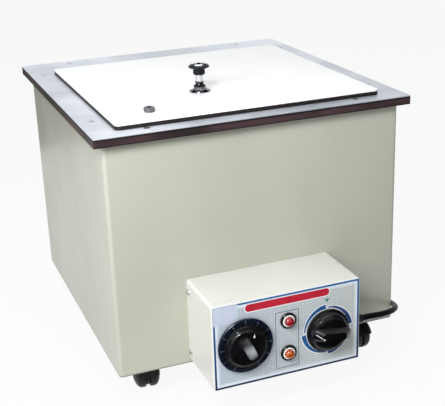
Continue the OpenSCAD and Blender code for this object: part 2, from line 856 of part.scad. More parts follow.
// Thin printed panel on the cover's front
module fascia_panel() {
    color("#c3ced6")
        difference() {
            translate([box_x, box_front, box_z + box_h / 2])
                front_slab(box_w - 2 * fascia_margin, box_h - 2 * fascia_margin, fascia_t, 1);
            for (p = [[dial_at, dial_z], [heat_at, heat_z]])
                translate([p.x, box_front + 1, p.y])
                    front_cylinder(2 * bush_r + 2 * hole_gap, fascia_t + 2);
            for (z = lamp_zs)
                translate([lamp_at, box_front + 1, z])
                    front_cylinder(lamp_hole_d + 2 * hole_gap, fascia_t + 2);
        }
}

// Threaded bush and nut that hold a control behind the panel, its axis along the front
module panel_bush() {
    difference() {
        translate([0, inner_front_y, 0])
            front_cylinder(2 * bush_r, sheet + fascia_t + bush_out);
        translate([0, inner_front_y + 1, 0])
            front_cylinder(shaft_d + 2 * shaft_gap, sheet + fascia_t + bush_out + 2);
    }
    difference() {
        translate([0, panel_y, 0])
            rotate([90, 0, 0])
                cylinder(d = panel_nut_d, h = panel_nut_h, $fn = 6);
        translate([0, panel_y + 1, 0])
            front_cylinder(2 * bush_r - 0.2, panel_nut_h + 2);
    }
}

// Case of the capillary thermostat, with its bush, nut and two flat tags
module thermostat_body() {
    color("#b9a98a")
        translate([dial_at, 0, dial_z]) {
            difference() {
                union() {
                    panel_bush();
                    translate([0, inner_front_y + stat_d, 0])
                        front_slab(stat_w, stat_h, stat_d, 2);
                }
                translate([0, inner_front_y + stat_d / 2, 0])
                    front_cylinder(shaft_d + 2 * shaft_gap, stat_d);
            }
            for (sx = [-1, 1])
                translate([sx * 10, inner_front_y + stat_d + 3, -stat_h / 2 + 8])
                    cube([0.8, 6, 6], center = true);
        }
}

// Capillary from the thermostat, through the cable window, to the bulb in its pocket
module thermostat_capillary() {
    capillary_r = 1;
    outlet_rise = 12;
    bend_l = 14;
    pocket_lead = 12;
    back_y = inner_front_y + stat_d;
    bulb_y = pocket_front_y + 3;
    route = [[dial_at, back_y + 0.1, dial_z + outlet_rise], [dial_at, back_y + 5, dial_z + outlet_rise],
        [dial_at + 3, back_y + bend_l, dial_z + outlet_rise + 3],
        [dial_at + 5, back_y + 2 * bend_l - 2, window_z + 2],
        [dial_at + 6, casing_front - 10, window_z + 4], [dial_at + 6, casing_front + 10, window_z + 5],
        [pocket_x, bulb_y - pocket_lead, heater_z], [pocket_x, bulb_y - 4, heater_z],
        [pocket_x, bulb_y + 1, heater_z]];
    color("#b87a4b")
        union() {
            tube(route, capillary_r, 8);
            translate([pocket_x, bulb_y, heater_z])
                rotate([-90, 0, 0])
                    cylinder(d = bulb_d, h = pocket_l - 10);
        }
}

// Shaft of the thermostat, turned by the dial
module thermostat_shaft() {
    color("silver")
        translate([dial_at, inner_front_y + stat_d / 2 - 2, dial_z])
            front_cylinder(shaft_d, stat_d / 2 - 2 + sheet + fascia_t + knob_gap + dial_h * shaft_share);
}

// Hollow in the back of a knob: room for the bush and its nut, and a hole for the shaft
module knob_hollow(h) {
    translate([0, 1, 0]) {
        front_cylinder(panel_nut_d + 3, bush_out + 2 - knob_gap);
        front_cylinder(shaft_d + 2 * hole_gap, h * shaft_share + 2);
    }
}

// Temperature dial: a wide skirt for the scale, a raised hub and a stout grip across it
module thermostat_dial() {
    dial_r = dial_d / 2;
    hub_r = dial_r - 10.5;
    hub_h = 11.5 - knob_gap;
    grip_h = dial_h - knob_gap;
    color("#17181b")
        translate([dial_at, knob_back_y, dial_z])
            difference() {
                union() {
                    rotate([90, 0, 0])
                        rotate_extrude()
                            polygon([[0, 0], [dial_r - 0.6, 0], [dial_r, 0.8], [dial_r, skirt_t - 1],
                                [dial_r - 1, skirt_t], [hub_r + 2.6, skirt_t + 0.6],
                                [hub_r + 0.6, skirt_t + 1.6], [hub_r - 0.4, hub_h - 1.2],
                                [hub_r - 1.2, hub_h - 0.4], [hub_r - 2.2, hub_h], [hub_r - 3.4, hub_h - 0.4],
                                [hub_r - 4.4, hub_h - 1.4], [0, hub_h - 1.4]]);
                    rotate([0, -25, 0])
                        translate([0, -1, 0])
                            hull() {
                                front_slab(17, 2 * hub_r - 18, hub_h - 2.6, 6);
                                front_slab(10.5, 2 * hub_r - 27, grip_h - 1, 4);
                            }
                }
                knob_hollow(dial_h);
            }
}

// Rotary switch behind the panel, with its bush and nut
module heat_switch() {
    color("#5a4636")
        translate([heat_at, 0, heat_z])
            difference() {
                union() {
                    panel_bush();
                    translate([0, inner_front_y + switch_l, 0])
                        front_cylinder(switch_d, switch_l);
                    for (a = [0:90:270])
                        rotate([0, a, 0])
                            translate([switch_d / 2, inner_front_y + switch_l - 6, 0])
                                cube([8, 4, 3], center = true);
                }
                translate([0, inner_front_y + switch_l / 2, 0])
                    front_cylinder(shaft_d + 2 * shaft_gap, switch_l);
            }
}

// Shaft of the rotary switch, turned by the heat knob
module heat_shaft() {
    color("silver")
        translate([heat_at, inner_front_y + switch_l / 2 - 2, heat_z])
            front_cylinder(shaft_d, switch_l / 2 - 2 + sheet + fascia_t + knob_gap + heat_h * shaft_share);
}

// Heat knob: a thin round base, a domed body and a pointer bar whose ends slope down to noses
module heat_knob() {
    heat_r = heat_d / 2;
    body_r = heat_r - 3;
    dome_h = 12.5 - knob_gap;
    bar_h = heat_h - knob_gap;
    color("#121315")
        translate([heat_at, knob_back_y, heat_z])
            difference() {
                union() {
                    rotate([90, 0, 0])
                        rotate_extrude()
                            polygon([[0, 0], [heat_r - 0.5, 0], [heat_r, 0.6], [heat_r, 2.4],
                                [heat_r - 0.8, 3.1], [body_r + 0.4, 3.4], [body_r, 4.2],
                                [body_r - 0.7, dome_h - 4.5], [body_r - 1.6, dome_h - 2.3],
                                [body_r - 3.2, dome_h - 0.8], [body_r - 6, dome_h], [0, dome_h]]);
                    rotate([0, 8, 0])
                        translate([0, -1, 0])
                            hull() {
                                front_slab(heat_d - 5, 16, dome_h + 0.6, 7);
                                front_slab(heat_d - 24, 10, bar_h - 1, 4.6);
                            }
                }
                knob_hollow(heat_h);
            }
}

// Black bezels of the two lamps, each with a barrel through the panel
module lamp_bezels() {
    bezel_r = bezel_d / 2;
    barrel_end = -fascia_t - sheet - lamp_nut_h - 2;
    color("#15171a")
        for (z = lamp_zs)
            translate([lamp_at, panel_y, z])
                rotate([90, 0, 0])
                    rotate_extrude()
                        polygon([[lamp_body_d / 2 + hole_gap, barrel_end], [lamp_hole_d / 2, barrel_end],
                            [lamp_hole_d / 2, 0], [bezel_r, 0], [bezel_r, bezel_h - 1.2],
                            [bezel_r - 1.2, bezel_h], [collar_out_d / 2 + hole_gap, bezel_h],
                            [collar_out_d / 2 + hole_gap, lamp_step],
                            [lamp_body_d / 2 + hole_gap, lamp_step]]);
}

// White collars inside the bezels
module lamp_collars() {
    color("#f1f1ee")
        for (z = lamp_zs)
            translate([lamp_at, panel_y, z])
                rotate([90, 0, 0])
                    rotate_extrude()
                        polygon([[lens_d / 2 + hole_gap, lamp_step], [collar_out_d / 2, lamp_step],
                            [collar_out_d / 2, collar_h - 0.8], [collar_out_d / 2 - 0.8, collar_h],
                            [lens_d / 2 + 1, collar_h], [lens_d / 2 + hole_gap, collar_h - 0.6]]);
}

// Domed lens of one lamp, standing out of its collar
module lens() {
    lens_r = lens_d / 2;
    dome_h = 3.2;
    rotate([90, 0, 0])
        rotate_extrude()
            polygon([[0, lamp_step], [lens_r, lamp_step], [lens_r, lens_h - dome_h],
                for (a = [15:15:75]) [lens_r * cos(a), lens_h - dome_h + dome_h * sin(a)],
                [0, lens_h]]);
}

// Red lens, for mains on
module red_lens() {
    color("#c3162c")
        translate([lamp_at, panel_y, lamp_zs[0]])
            lens();
}

// Amber lens, for heating
module amber_lens() {
    color("#e0691d")
        translate([lamp_at, panel_y, lamp_zs[1]])
            lens();
}

// Lamp bodies behind the lenses, each with its nut and two tags
module lamp_bodies() {
    color("#dadad2")
        for (z = lamp_zs)
            translate([lamp_at, 0, z]) {
                translate([0, inner_front_y + lamp_body_l, 0])
                    front_cylinder(lamp_body_d, lamp_body_l + sheet + fascia_t + lamp_step - 0.2);
                for (sx = [-1, 1])
                    translate([sx * 3.5, inner_front_y + lamp_body_l + 2.5, 0])
                        cube([0.8, 5, 3], center = true);
                translate([0, inner_front_y + lamp_nut_h, 0])
                    difference() {
                        rotate([90, 0, 0])
                            cylinder(d = lamp_nut_d, h = lamp_nut_h, $fn = 6);
                        translate([0, 1, 0])
                            front_cylinder(lamp_hole_d + 2 * hole_gap, lamp_nut_h + 2);
                    }
            }
}

// Three-way ceramic block screwed to the chassis
module terminal_block() {
    color("#e9e3d2")
        translate([block_x, chassis_y, box_z + block_rise])
            difference() {
                translate([0, 0, block_h / 2])
                    front_slab(block_w, block_h, block_d, 1.5);
                for (i = [-1, 0, 1])
                    translate([i * block_pitch, -block_d + 5, -1])
                        cylinder(d = 4, h = block_h + 2);
                for (i = [-1, 0, 1], z = [5, block_h - 5])
                    translate([i * block_pitch, -block_d + 4, z])
                        front_cylinder(4.5, 5);
            }
}

// Insulated leads inside the control box and out to the heater's pins
module wiring_leads() {
    lead_core_r = 1.3;
    core_sides = 8;
    block_y = chassis_y - block_d + 5;
    block_low = box_z + block_rise;
    block_top = block_low + block_h;
    switch_y = inner_front_y + switch_l;
    pin_y = heater_front_y - tail_pin_l;
    pin_x = 1.5 * heater_pitch;
    inlet_x = box_x + box_w / 2 - sheet - gland_nut_h;
    color("#2c2e33") {
        translate([inlet_x - 18, gland_y, gland_z])
            rotate([0, 90, 0])
                cylinder(d = lead_d - 0.6, h = 18);
        for (i = [-1, 0, 1])
            tube([[inlet_x - 18, gland_y + i * 2.7, gland_z], [inlet_x - 22, gland_y + i * 2.7, gland_z],
                [block_x + i * block_pitch + 8, gland_y + i * 3, block_low - 5],
                [block_x + i * block_pitch + 1.5, block_y, block_low - 6],
                [block_x + i * block_pitch, block_y, block_low - 3],
                [block_x + i * block_pitch, block_y, block_low + 4]], lead_core_r, core_sides);
    }
    color("#b3382c")
        tube([[block_x + block_pitch, block_y, block_top - 4],
            [block_x + block_pitch, block_y, block_top + 4],
            [block_x + block_pitch + 4, block_y - 4, block_top + 12],
            [heat_at - 6, switch_y + 14, heat_z + 2], [heat_at, switch_y + 8, heat_z],
            [heat_at, switch_y + 0.1, heat_z]], lead_core_r, core_sides);
    color("#e9e6dc") {
        tube([[dial_at + 10, inner_front_y + stat_d + 6.1, dial_z - stat_h / 2 + 8],
            [dial_at + 10, inner_front_y + stat_d + 12, dial_z - stat_h / 2 + 8],
            [dial_at + 8, casing_front - 14, window_z - 10], [dial_at + 4, casing_front, window_z - 6],
            [-pin_x + 6, casing_front + 14, window_z + 2], [-pin_x, pin_y - 8, heater_z],
            [-pin_x, pin_y - 0.1, heater_z]], lead_core_r, core_sides);
        tube([[block_x, block_y, block_top - 4], [block_x, block_y, block_top + 4],
            [block_x + 6, block_y + 6, block_top + 16], [block_x + 16, casing_front - 10, window_z - 8],
            [block_x + 28, casing_front, window_z - 5], [pin_x - 14, casing_front + 12, window_z + 3],
            [pin_x, pin_y - 8, heater_z], [pin_x, pin_y - 0.1, heater_z]], lead_core_r, core_sides);
    }
}

// Strain relief in the right-hand wall: a flange and tapered boot outside, a nut inside
module cord_gland() {
    groove = 0.7;
    groove_count = 5;
    groove_pitch = (boot_l - 10) / groove_count;
    color("#1a1b1d")
        translate([box_x + box_w / 2, gland_y, gland_z])
            rotate([0, 90, 0]) {
                rotate_extrude()
                    polygon([[0, -sheet - gland_nut_h], [gland_neck_d / 2, -sheet - gland_nut_h],
                        [gland_neck_d / 2, 0], [gland_flange_d / 2, 0],
                        [gland_flange_d / 2, gland_flange_t - 1],
                        [gland_flange_d / 2 - 1, gland_flange_t],
                        [boot_d / 2, gland_flange_t],
                        for (i = [0:groove_count - 1])
                            let (z = gland_flange_t + 4 + i * groove_pitch,
                                r = boot_d / 2 - (boot_d - boot_tip_d) / 2 * (4 + i * groove_pitch) / boot_l)
                            each [[r, z], [r - groove, z + 0.4], [r - groove, z + groove_pitch / 2 - 0.4],
                                [r - 0.15, z + groove_pitch / 2]],
                        [boot_tip_d / 2, gland_flange_t + boot_l],
                        [0, gland_flange_t + boot_l]]);
                translate([0, 0, -sheet - gland_nut_h])
                    nut(gland_nut_d, gland_nut_h, gland_neck_d + 2 * hole_gap);
            }
}

// Free stretch of the mains lead, from the boot to the coil
module mains_cord() {
    color("#1b1c1e")
        tube(lead_route, lead_r, lead_sides);
}

// Put-away length of the lead, in two layers of turns
module cord_coil() {
    color("#1b1c1e")
        tube(coil_path, lead_r, coil_sides);
}

// Last stretch of the lead, from the coil to the plug
module cord_tail() {
    color("#1b1c1e")
        tube(tail_route, lead_r, lead_sides);
}

// Strap round the coil's turns
module coil_tie() {
    strands = [for (k = [0:floor(coil_turns - tie_turn)]) coil_radius(tie_turn + k)];
    inner_edge = min(strands) - lead_r;
    inner_r = sqrt(pow(inner_edge, 2) - pow(tie_w / 2, 2)) - 2 * seat_gap;
    outer_r = max(strands) + lead_r + seat_gap + 0.6;
    inner_h = coil_pitch + lead_d + 0.6;
    color("#2b2c30")
        translate([coil_x, coil_y, 0])
            rotate(360 * tie_turn)
                difference() {
                    translate([inner_r - tie_t, -tie_w / 2, 0])
                        cube([outer_r - inner_r + 2 * tie_t, tie_w, inner_h + 2 * tie_t - 0.2]);
                    translate([inner_r, -tie_w, tie_t - 0.1])
                        cube([outer_r - inner_r, 2 * tie_w, inner_h]);
                }
}

// Moulded plug, lying on its side with its pins to the left, and its tapered boot
module plug_body() {
    color("#1b1c1e")
        translate([plug_x, plug_y, plug_z])
            union() {
                rotate([0, -90, 0])
                    rotate_extrude()
                        polygon([[0, 0], [boot_tip_d / 2, 0], [boot_d / 2 + 0.5, plug_boot_l],
                            [boot_d / 2 + 0.5, plug_boot_l + 4], [0, plug_boot_l + 4]]);
                translate([-plug_boot_l, 0, 0])
                    hull() {
                        rotate([0, -90, 0])
                            linear_extrude(1)
                                rounded_rect(18, 22, plug_r);
                        translate([-plug_l * 0.55, 0, 0])
                            rotate([0, -90, 0])
                                linear_extrude(plug_l * 0.45)
                                    rounded_rect(plug_h, plug_w, plug_r);
                    }
            }
}

// Three round pins, the thick earth pin apart from the other two
module plug_pins() {
    face_x = plug_x - plug_boot_l - plug_l;
    color("#c8ccd0") {
        for (sz = [-1, 1])
            translate([face_x, plug_y - pins_mid, plug_z + sz * pin_pitch / 2])
                rotate([0, -90, 0])
                    plug_pin(line_pin_d, line_pin_l);
        translate([face_x, plug_y - pins_mid + earth_offset, plug_z])
            rotate([0, -90, 0])
                plug_pin(earth_pin_d, earth_pin_l);
    }
}

// One round pin with a bevelled tip
module plug_pin(d, l) {
    rotate_extrude()
        polygon([[0, 0], [d / 2, 0], [d / 2, l - 1.2], [d / 2 - 1, l], [0, l]]);
}

// Dark board of the lid, its edge showing round the white top
module lid_board() {
    color("#2a211f")
        difference() {
            translate([0, tank_y, lid_z])
                slab(lid_w, lid_d, lid_t, lid_r);
            lid_holes();
        }
}

// White laminate on the lid
module lid_skin() {
    color("#f6f7f7")
        difference() {
            translate([0, tank_y, lid_z + lid_t])
                slab(lid_w, lid_d, skin_t, lid_r);
            lid_holes();
        }
}

// Holes through the lid for the knob's stud and the thermometer bush
module lid_holes() {
    translate([knob_place.x, knob_place.y, lid_z - 1])
        cylinder(d = knob_stud_d + 2 * hole_gap, h = lid_t + skin_t + 2);
    translate([bush_place.x, bush_place.y, lid_z - 1])
        cylinder(d = bush_barrel_d + 2 * hole_gap, h = lid_t + skin_t + 2);
}

// Rim under the lid that drops into the tank's mouth
module lid_rim() {
    color("#cfd2d6")
        translate([0, tank_y, lid_z - rim_h])
            frame_ring(tank_w - 2 * rim_gap, tank_d - 2 * rim_gap, rim_h, tank_r - rim_gap, rim_t);
}

// Chromed spool knob: a domed cap, two collars, a slim waist and a foot
module lid_knob() {
    cap_r = spool_d / 2;
    neck_r = collar_d / 2;
    waist_r = waist_d / 2;
    low_collar_z = 8.6;
    high_collar_z = spool_h - 16;
    cap_z = spool_h - 5.6;
    color("#c9ccd0")
        translate([knob_place.x, knob_place.y, lid_top_z])
            rotate_extrude()
                polygon([[0, 0], [cap_r - 0.5, 0], [cap_r, 0.7], [cap_r - 0.4, 1.5],
                    [cap_r - 3, 2.2], [neck_r + 1.2, 2.8], [neck_r, 4], [neck_r, low_collar_z - 1],
                    [neck_r - 1, low_collar_z], [waist_r + 0.4, low_collar_z + 0.4],
                    [waist_r, low_collar_z + 1.6], [waist_r + 0.9, low_collar_z + 3],
                    [waist_r + 0.9, low_collar_z + 4], [waist_r, low_collar_z + 5.4],
                    [waist_r, high_collar_z - 0.4], [neck_r - 1.2, high_collar_z],
                    [neck_r, high_collar_z + 1.2], [neck_r, cap_z - 2.2], [neck_r + 1, cap_z - 1.2],
                    [cap_r - 0.8, cap_z - 1], [cap_r, cap_z - 0.4], [cap_r, cap_z + 0.4],
                    for (a = [15:15:75])
                        [(cap_r - 0.6) * cos(a), cap_z + 0.6 + (spool_h - cap_z - 0.6) * sin(a)],
                    [0, spool_h]]);
}

// Chromed bush that a dial thermometer's stem drops through
module thermometer_bush() {
    barrel_l = lid_t + skin_t + 5;
    color("#b4b8bc")
        translate([bush_place.x, bush_place.y, lid_top_z])
            difference() {
                rotate_extrude()
                    polygon([[0, -barrel_l], [bush_barrel_d / 2, -barrel_l], [bush_barrel_d / 2, 0],
                        [bush_head_d / 2 - 1, 0], [bush_head_d / 2 - 1, 1], [bush_head_d / 2, 1.6],
                        [bush_head_d / 2, bush_head_h - 0.6], [bush_head_d / 2 - 0.6, bush_head_h],
                        [0, bush_head_h]]);
                translate([0, 0, -barrel_l - 1])
                    cylinder(d = bush_bore_d, h = barrel_l + bush_head_h + 2);
            }
}

// Under the lid: the knob's screw with its washer, and the bush's nut
module lid_fasteners() {
    color("silver") {
        translate([knob_place.x, knob_place.y, lid_z]) {
            translate([0, 0, -1.2])
                cylinder(d = 16, h = 1.2);
            translate([0, 0, -5.2])
                cylinder(d = 11, h = 4, $fn = 6);
            translate([0, 0, -1.2])
                cylinder(d = knob_stud_d, h = 1.2 + lid_t + skin_t);
        }
        translate([bush_place.x, bush_place.y, lid_z - 4])
            nut(17, 4, bush_barrel_d + 2 * hole_gap);
    }
}

// Mounting plates of the castors, each with its pivot pin
module castor_plates() {
    color("#a7abad")
        for (c = castors)
            translate([c.x, c.y, plate_z]) {
                difference() {
                    slab(plate_w, plate_d, plate_t, plate_r);
                    for (hx = [-1, 1], hy = [-1, 1])
                        translate([hx * plate_hole_x, hy * plate_hole_y, -1])
                            cylinder(d = castor_screw_d + 2 * hole_gap, h = plate_t + 2);
                }
                translate([0, 0, -pivot_l])
                    cylinder(d = pivot_d, h = pivot_l + 0.5);
            }
}

// Screws and nuts that hold the castor plates to the base plate
module castor_screws() {
    color("silver")
        for (c = castors, hx = [-1, 1], hy = [-1, 1])
            translate([c.x + hx * plate_hole_x, c.y + hy * plate_hole_y, plate_z]) {
                mirror([0, 0, 1])
                    screw(castor_screw_d, castor_screw_head_d, castor_screw_head_h,
                        plate_t + base_t + castor_screw_nut_h + castor_screw_stub);
                translate([0, 0, plate_t + base_t])
                    nut(castor_screw_head_d + 0.8, castor_screw_nut_h, castor_screw_d - 0.2);
            }
}

// Places a castor's child in its own frame: pivot at the origin, axle out along +X
module at_castor(i) {
    translate([castors[i].x, castors[i].y, 0])
        rotate(castors[i].z)
            children();
}

// Turns a profile drawn as radius and offset into a solid round the axle, at height wheel_r
module round_axle(angle = 360, start = 0) {
    translate([trail, 0, wheel_r])
        rotate([90, 0, 0])
            rotate(start)
                rotate_extrude(angle = angle)
                    children();
}

// Crown of the wheels: radius at the distance s from the middle of the castor
function crown(s, extra) =
    let (edge = twin_w / 2 + extra, flat = web_t / 2 + wheel_side_gap + tread_w,
        u = min(max((s - flat) / (edge - flat), 0), 1))
    (wheel_r + extra) * sqrt(1 - pow(u * 0.93, 2));

crown_flat = web_t / 2 + wheel_side_gap + tread_w;

// Swivelling hood of one castor: a boss on the pivot, a web between the wheels, a round shell
module castor_hood(i) {
    inner = hood_gap;
    outer = hood_gap + hood_t;
    shell_half = twin_w / 2 - 3;
    steps = 5;
    shell_offsets = [for (k = [0:steps]) crown_flat + (shell_half - crown_flat) * k / steps];
    color("#1a1818")
        at_castor(i)
            difference() {
                union() {
                    difference() {
                        translate([0, 0, boss_z])
                            cylinder(d = boss_d, h = hood_top_z - boss_z);
                        round_axle()
                            translate([0, -twin_w])
                                square([wheel_r + hood_gap, 2 * twin_w]);
                    }
                    round_axle(angle = 150, start = 20)
                        polygon([
                            for (s = shell_offsets) [crown(s, outer), s],
                            for (k = [steps:-1:0]) [crown(shell_offsets[k], inner), shell_offsets[k]],
                            for (s = shell_offsets) [crown(s, inner), -s],
                            for (k = [steps:-1:0]) [crown(shell_offsets[k], outer), -shell_offsets[k]]]);
                    round_axle(angle = 150, start = 20)
                        translate([0, -web_t / 2])
                            square([wheel_r + outer - 0.5, web_t]);
                    round_axle()
                        translate([0, -web_t / 2])
                            square([wheel_r * 0.55, web_t]);
                }
                translate([0, 0, boss_z + boss_floor])
                    cylinder(d = pivot_d + 2 * castor_gap, h = wheel_d);
                round_axle()
                    translate([0, -web_t])
                        square([axle_d / 2 + castor_gap, 2 * web_t]);
            }
}

// Axle through one castor's web
module castor_axle(i) {
    color("silver")
        at_castor(i)
            round_axle()
                translate([0, -axle_l / 2])
                    square([axle_d / 2, axle_l]);
}

// One moulded half-ball wheel: side is 1 or -1 along the axle
module castor_wheel(i, side) {
    inner_s = web_t / 2 + wheel_side_gap;
    outer_s = twin_w / 2;
    steps = 8;
    rim_offsets = [for (k = [0:steps]) crown_flat + (outer_s - crown_flat) * k / steps];
    hub_r = axle_d / 2 + castor_gap;
    color("#241b1d")
        at_castor(i)
            round_axle()
                scale([1, side])
                    polygon([[hub_r, inner_s], [hub_r + 3, inner_s], [hub_r + 3.5, inner_s + 5],
                        [wheel_r - 4.5, inner_s + 5], [wheel_r - 4, inner_s], [wheel_r - 0.6, inner_s],
                        [wheel_r, inner_s + 0.6],
                        for (s = rim_offsets) [crown(s, 0), s],
                        [wheel_r * 0.3, outer_s], [wheel_r * 0.25, outer_s - 0.8], [0, outer_s - 0.8],
                        [0, wheel_bore_end], [hub_r, wheel_bore_end]]);
}

outer_casing();
base_plate();
base_screws();
top_board();
wax_tank();
flange_screws();
side_insulation();
base_insulation();
heater_element();
heater_clamps();
control_chassis();
chassis_bolts();
control_cover();
cover_screws();
fascia_panel();
thermostat_body();
thermostat_capillary();
thermostat_shaft();
thermostat_dial();
heat_switch();
heat_shaft();
heat_knob();
lamp_bezels();
lamp_collars();
red_lens();
amber_lens();
lamp_bodies();
terminal_block();
wiring_leads();
cord_gland();
mains_cord();
cord_coil();
cord_tail();
coil_tie();
plug_body();
plug_pins();
lid_board();
lid_skin();
lid_rim();
lid_knob();
thermometer_bush();
lid_fasteners();
castor_plates();
castor_screws();
castor_hood(0);  // castor_hood_fl
castor_hood(1);  // castor_hood_fr
castor_hood(2);  // castor_hood_bl
castor_hood(3);  // castor_hood_br
castor_axle(0);  // castor_axle_fl
castor_axle(1);  // castor_axle_fr
castor_axle(2);  // castor_axle_bl
castor_axle(3);  // castor_axle_br
castor_wheel(0, 1);  // wheel_fl_a
castor_wheel(0, -1);  // wheel_fl_b
castor_wheel(1, 1);  // wheel_fr_a
castor_wheel(1, -1);  // wheel_fr_b
castor_wheel(2, 1);  // wheel_bl_a
castor_wheel(2, -1);  // wheel_bl_b
castor_wheel(3, 1);  // wheel_br_a
castor_wheel(3, -1);  // wheel_br_b
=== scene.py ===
import json
import math

import bmesh
import bpy
from mathutils import Matrix, Vector
from mathutils.bvhtree import BVHTree


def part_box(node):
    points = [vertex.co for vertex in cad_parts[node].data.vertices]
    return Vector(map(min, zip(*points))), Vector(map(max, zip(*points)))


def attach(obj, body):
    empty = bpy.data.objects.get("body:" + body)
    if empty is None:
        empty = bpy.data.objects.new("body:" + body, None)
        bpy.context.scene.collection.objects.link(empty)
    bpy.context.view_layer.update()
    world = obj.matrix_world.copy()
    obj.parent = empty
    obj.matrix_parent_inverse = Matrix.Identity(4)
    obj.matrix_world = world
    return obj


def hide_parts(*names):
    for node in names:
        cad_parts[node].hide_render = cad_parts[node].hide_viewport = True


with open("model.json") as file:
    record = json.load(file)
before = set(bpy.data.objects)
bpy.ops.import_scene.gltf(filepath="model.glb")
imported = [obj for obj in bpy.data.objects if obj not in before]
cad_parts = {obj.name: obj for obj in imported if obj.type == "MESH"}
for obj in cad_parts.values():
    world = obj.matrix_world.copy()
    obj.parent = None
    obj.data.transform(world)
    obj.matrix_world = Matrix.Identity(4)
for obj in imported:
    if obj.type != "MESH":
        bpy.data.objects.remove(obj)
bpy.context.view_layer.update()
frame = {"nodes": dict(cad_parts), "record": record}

MM = 0.001
SCENE = bpy.context.scene

# The photograph's camera: where it stands, where it looks, and its lens
CAMERA_PLACE = (-0.4372, -1.1819, 0.665)
CAMERA_AZIMUTH = -20.71
CAMERA_ELEVATION = 20.53
CAMERA_ROLL = 2.13
CAMERA_LENS = 78.57
SENSOR_WIDTH = 36

# Floor, and the white surround's light on the object
FLOOR_SIZE = 60
FLOOR_WHITE = 0.92
FLOOR_MATT = "d8d8d8"
WORLD_STRENGTH = 0.21

# Lamps: place, target, size and watts
LAMPS = {
    "key": ((-0.55, -0.78, 0.93), (-0.08, -0.1, 0.22), 0.4, 11),
    "left": ((-1.0, -0.62, 0.75), (-0.19, -0.1, 0.24), 0.4, 6.5),
    "top": ((0.1, 0.2, 1.9), (0, 0.05, 0.3), 1.2, 12)}

# Dark cards that only reflections see: place, target, width and height
CARDS = {
    "card_left": ((-1.6, 0.5, 0.6), (0, 0, 0.35), 1.6, 1.3),
    "card_right": ((1.2, -0.9, 0.7), (0, 0, 0.35), 1.7, 1.3),
    "card_back": ((0.5, 1.2, 1.5), (0, 0, 0.35), 1.8, 0.7),
    "card_low": ((0.25, -0.75, 0.02), (0.25, -0.75, 1), 1.1, 0.9),
    "card_side": ((-0.6, 1.6, 0.02), (-0.6, 1.6, 1), 0.9, 1.3)}
CARD_COLOUR = (0.004, 0.004, 0.004, 1)

# Mains lead, in millimetres: its free stretch, its coil and its last stretch to the plug
LEAD_D = 8
LEAD_ROUTE = [
    (131, -179, 70), (146, -179, 70), (160, -178.2, 68.8), (173.5, -174.2, 67),
    (185.5, -167, 64.7), (195, -157, 62), (200.5, -144, 58.8), (203, -129, 55.2),
    (203.5, -112, 51), (204, -94, 46.3), (204, -76, 41), (204, -58, 35.2), (204, -40, 29.1),
    (204, -22, 23.2), (204, -4, 17.7), (204.5, 14, 12.8), (204.5, 32, 8.8), (204.5, 50, 5.9),
    (205, 68, 4.4), (205, 88, 4), (206, 108, 4), (207, 128, 4), (208, 148, 4), (208.5, 168, 4),
    (208.5, 188, 4), (208, 208, 4), (207, 228, 4.2), (205.5, 248, 4.5), (204, 268, 4.9),
    (202.5, 288, 5.2), (202, 303, 5.2), (202, 317, 5.2)]
COIL_MIDDLE = (145, 325)
COIL_R = 57
COIL_Z = 5.2
COIL_PITCH = 8.7
COIL_TURNS = 4.25
COIL_CLIMB = 0.25
COIL_STEPS = 48
TAIL_ROUTE = [
    (137, 382, 13.9), (126, 382, 13.9), (114, 381.6, 14.5), (102, 380.6, 15.6),
    (92, 380.1, 16.3), (84, 380, 16.4), (77, 380, 16.4)]
ROUTE_STEPS = 4
LEAD_BEVEL_STEPS = 6


def rgb(code):
    """Linear colour of an sRGB code such as c5c7b9."""
    parts = [int(code[i:i + 2], 16) / 255 for i in (0, 2, 4)]
    return tuple(p / 12.92 if p <= 0.04045 else ((p + 0.055) / 1.055) ** 2.4 for p in parts) + (1,)


def metres(points):
    """Points given in millimetres, in metres."""
    return [Vector(p) * MM for p in points]


def middle(node):
    """Middle of a CAD node's box."""
    low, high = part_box(node)
    return (low + high) / 2


# Camera, lamps and floor

def facing(place, target):
    """Place and turn of something that looks from a place to a target."""
    aim = Vector(target) - Vector(place)
    return Matrix.Translation(place) @ aim.to_track_quat("-Z", "Y").to_matrix().to_4x4()


def flat_sheet(name, width, depth):
    """Flat rectangle about the origin."""
    x, y = width / 2, depth / 2
    mesh = bpy.data.meshes.new(name)
    mesh.from_pydata([(-x, -y, 0), (x, -y, 0), (x, y, 0), (-x, y, 0)], [], [(0, 1, 2, 3)])
    sheet = bpy.data.objects.new(name, mesh)
    SCENE.collection.objects.link(sheet)
    return sheet


def make_camera():
    """Camera at the photograph's place and angle."""
    azimuth, elevation, roll = map(math.radians, (CAMERA_AZIMUTH, CAMERA_ELEVATION, CAMERA_ROLL))
    back = Vector((math.sin(azimuth) * math.cos(elevation),
                   -math.cos(azimuth) * math.cos(elevation), math.sin(elevation)))
    right = Vector((math.cos(azimuth), math.sin(azimuth), 0))
    up = back.cross(right)
    side = math.cos(roll) * right - math.sin(roll) * up
    top = math.sin(roll) * right + math.cos(roll) * up
    data = bpy.data.cameras.new("camera")
    data.lens = CAMERA_LENS
    data.sensor_width = SENSOR_WIDTH
    data.sensor_fit = "HORIZONTAL"
    camera = bpy.data.objects.new("camera", data)
    SCENE.collection.objects.link(camera)
    turn = Matrix((side, top, back)).transposed().to_4x4()
    camera.matrix_world = Matrix.Translation(CAMERA_PLACE) @ turn
    SCENE.camera = camera


def area_lamp(name, place, target, size, watts):
    """Square soft lamp that faces a target."""
    data = bpy.data.lights.new(name, "AREA")
    data.size = size
    data.energy = watts
    lamp = bpy.data.objects.new(name, data)
    SCENE.collection.objects.link(lamp)
    lamp.matrix_world = facing(place, target)


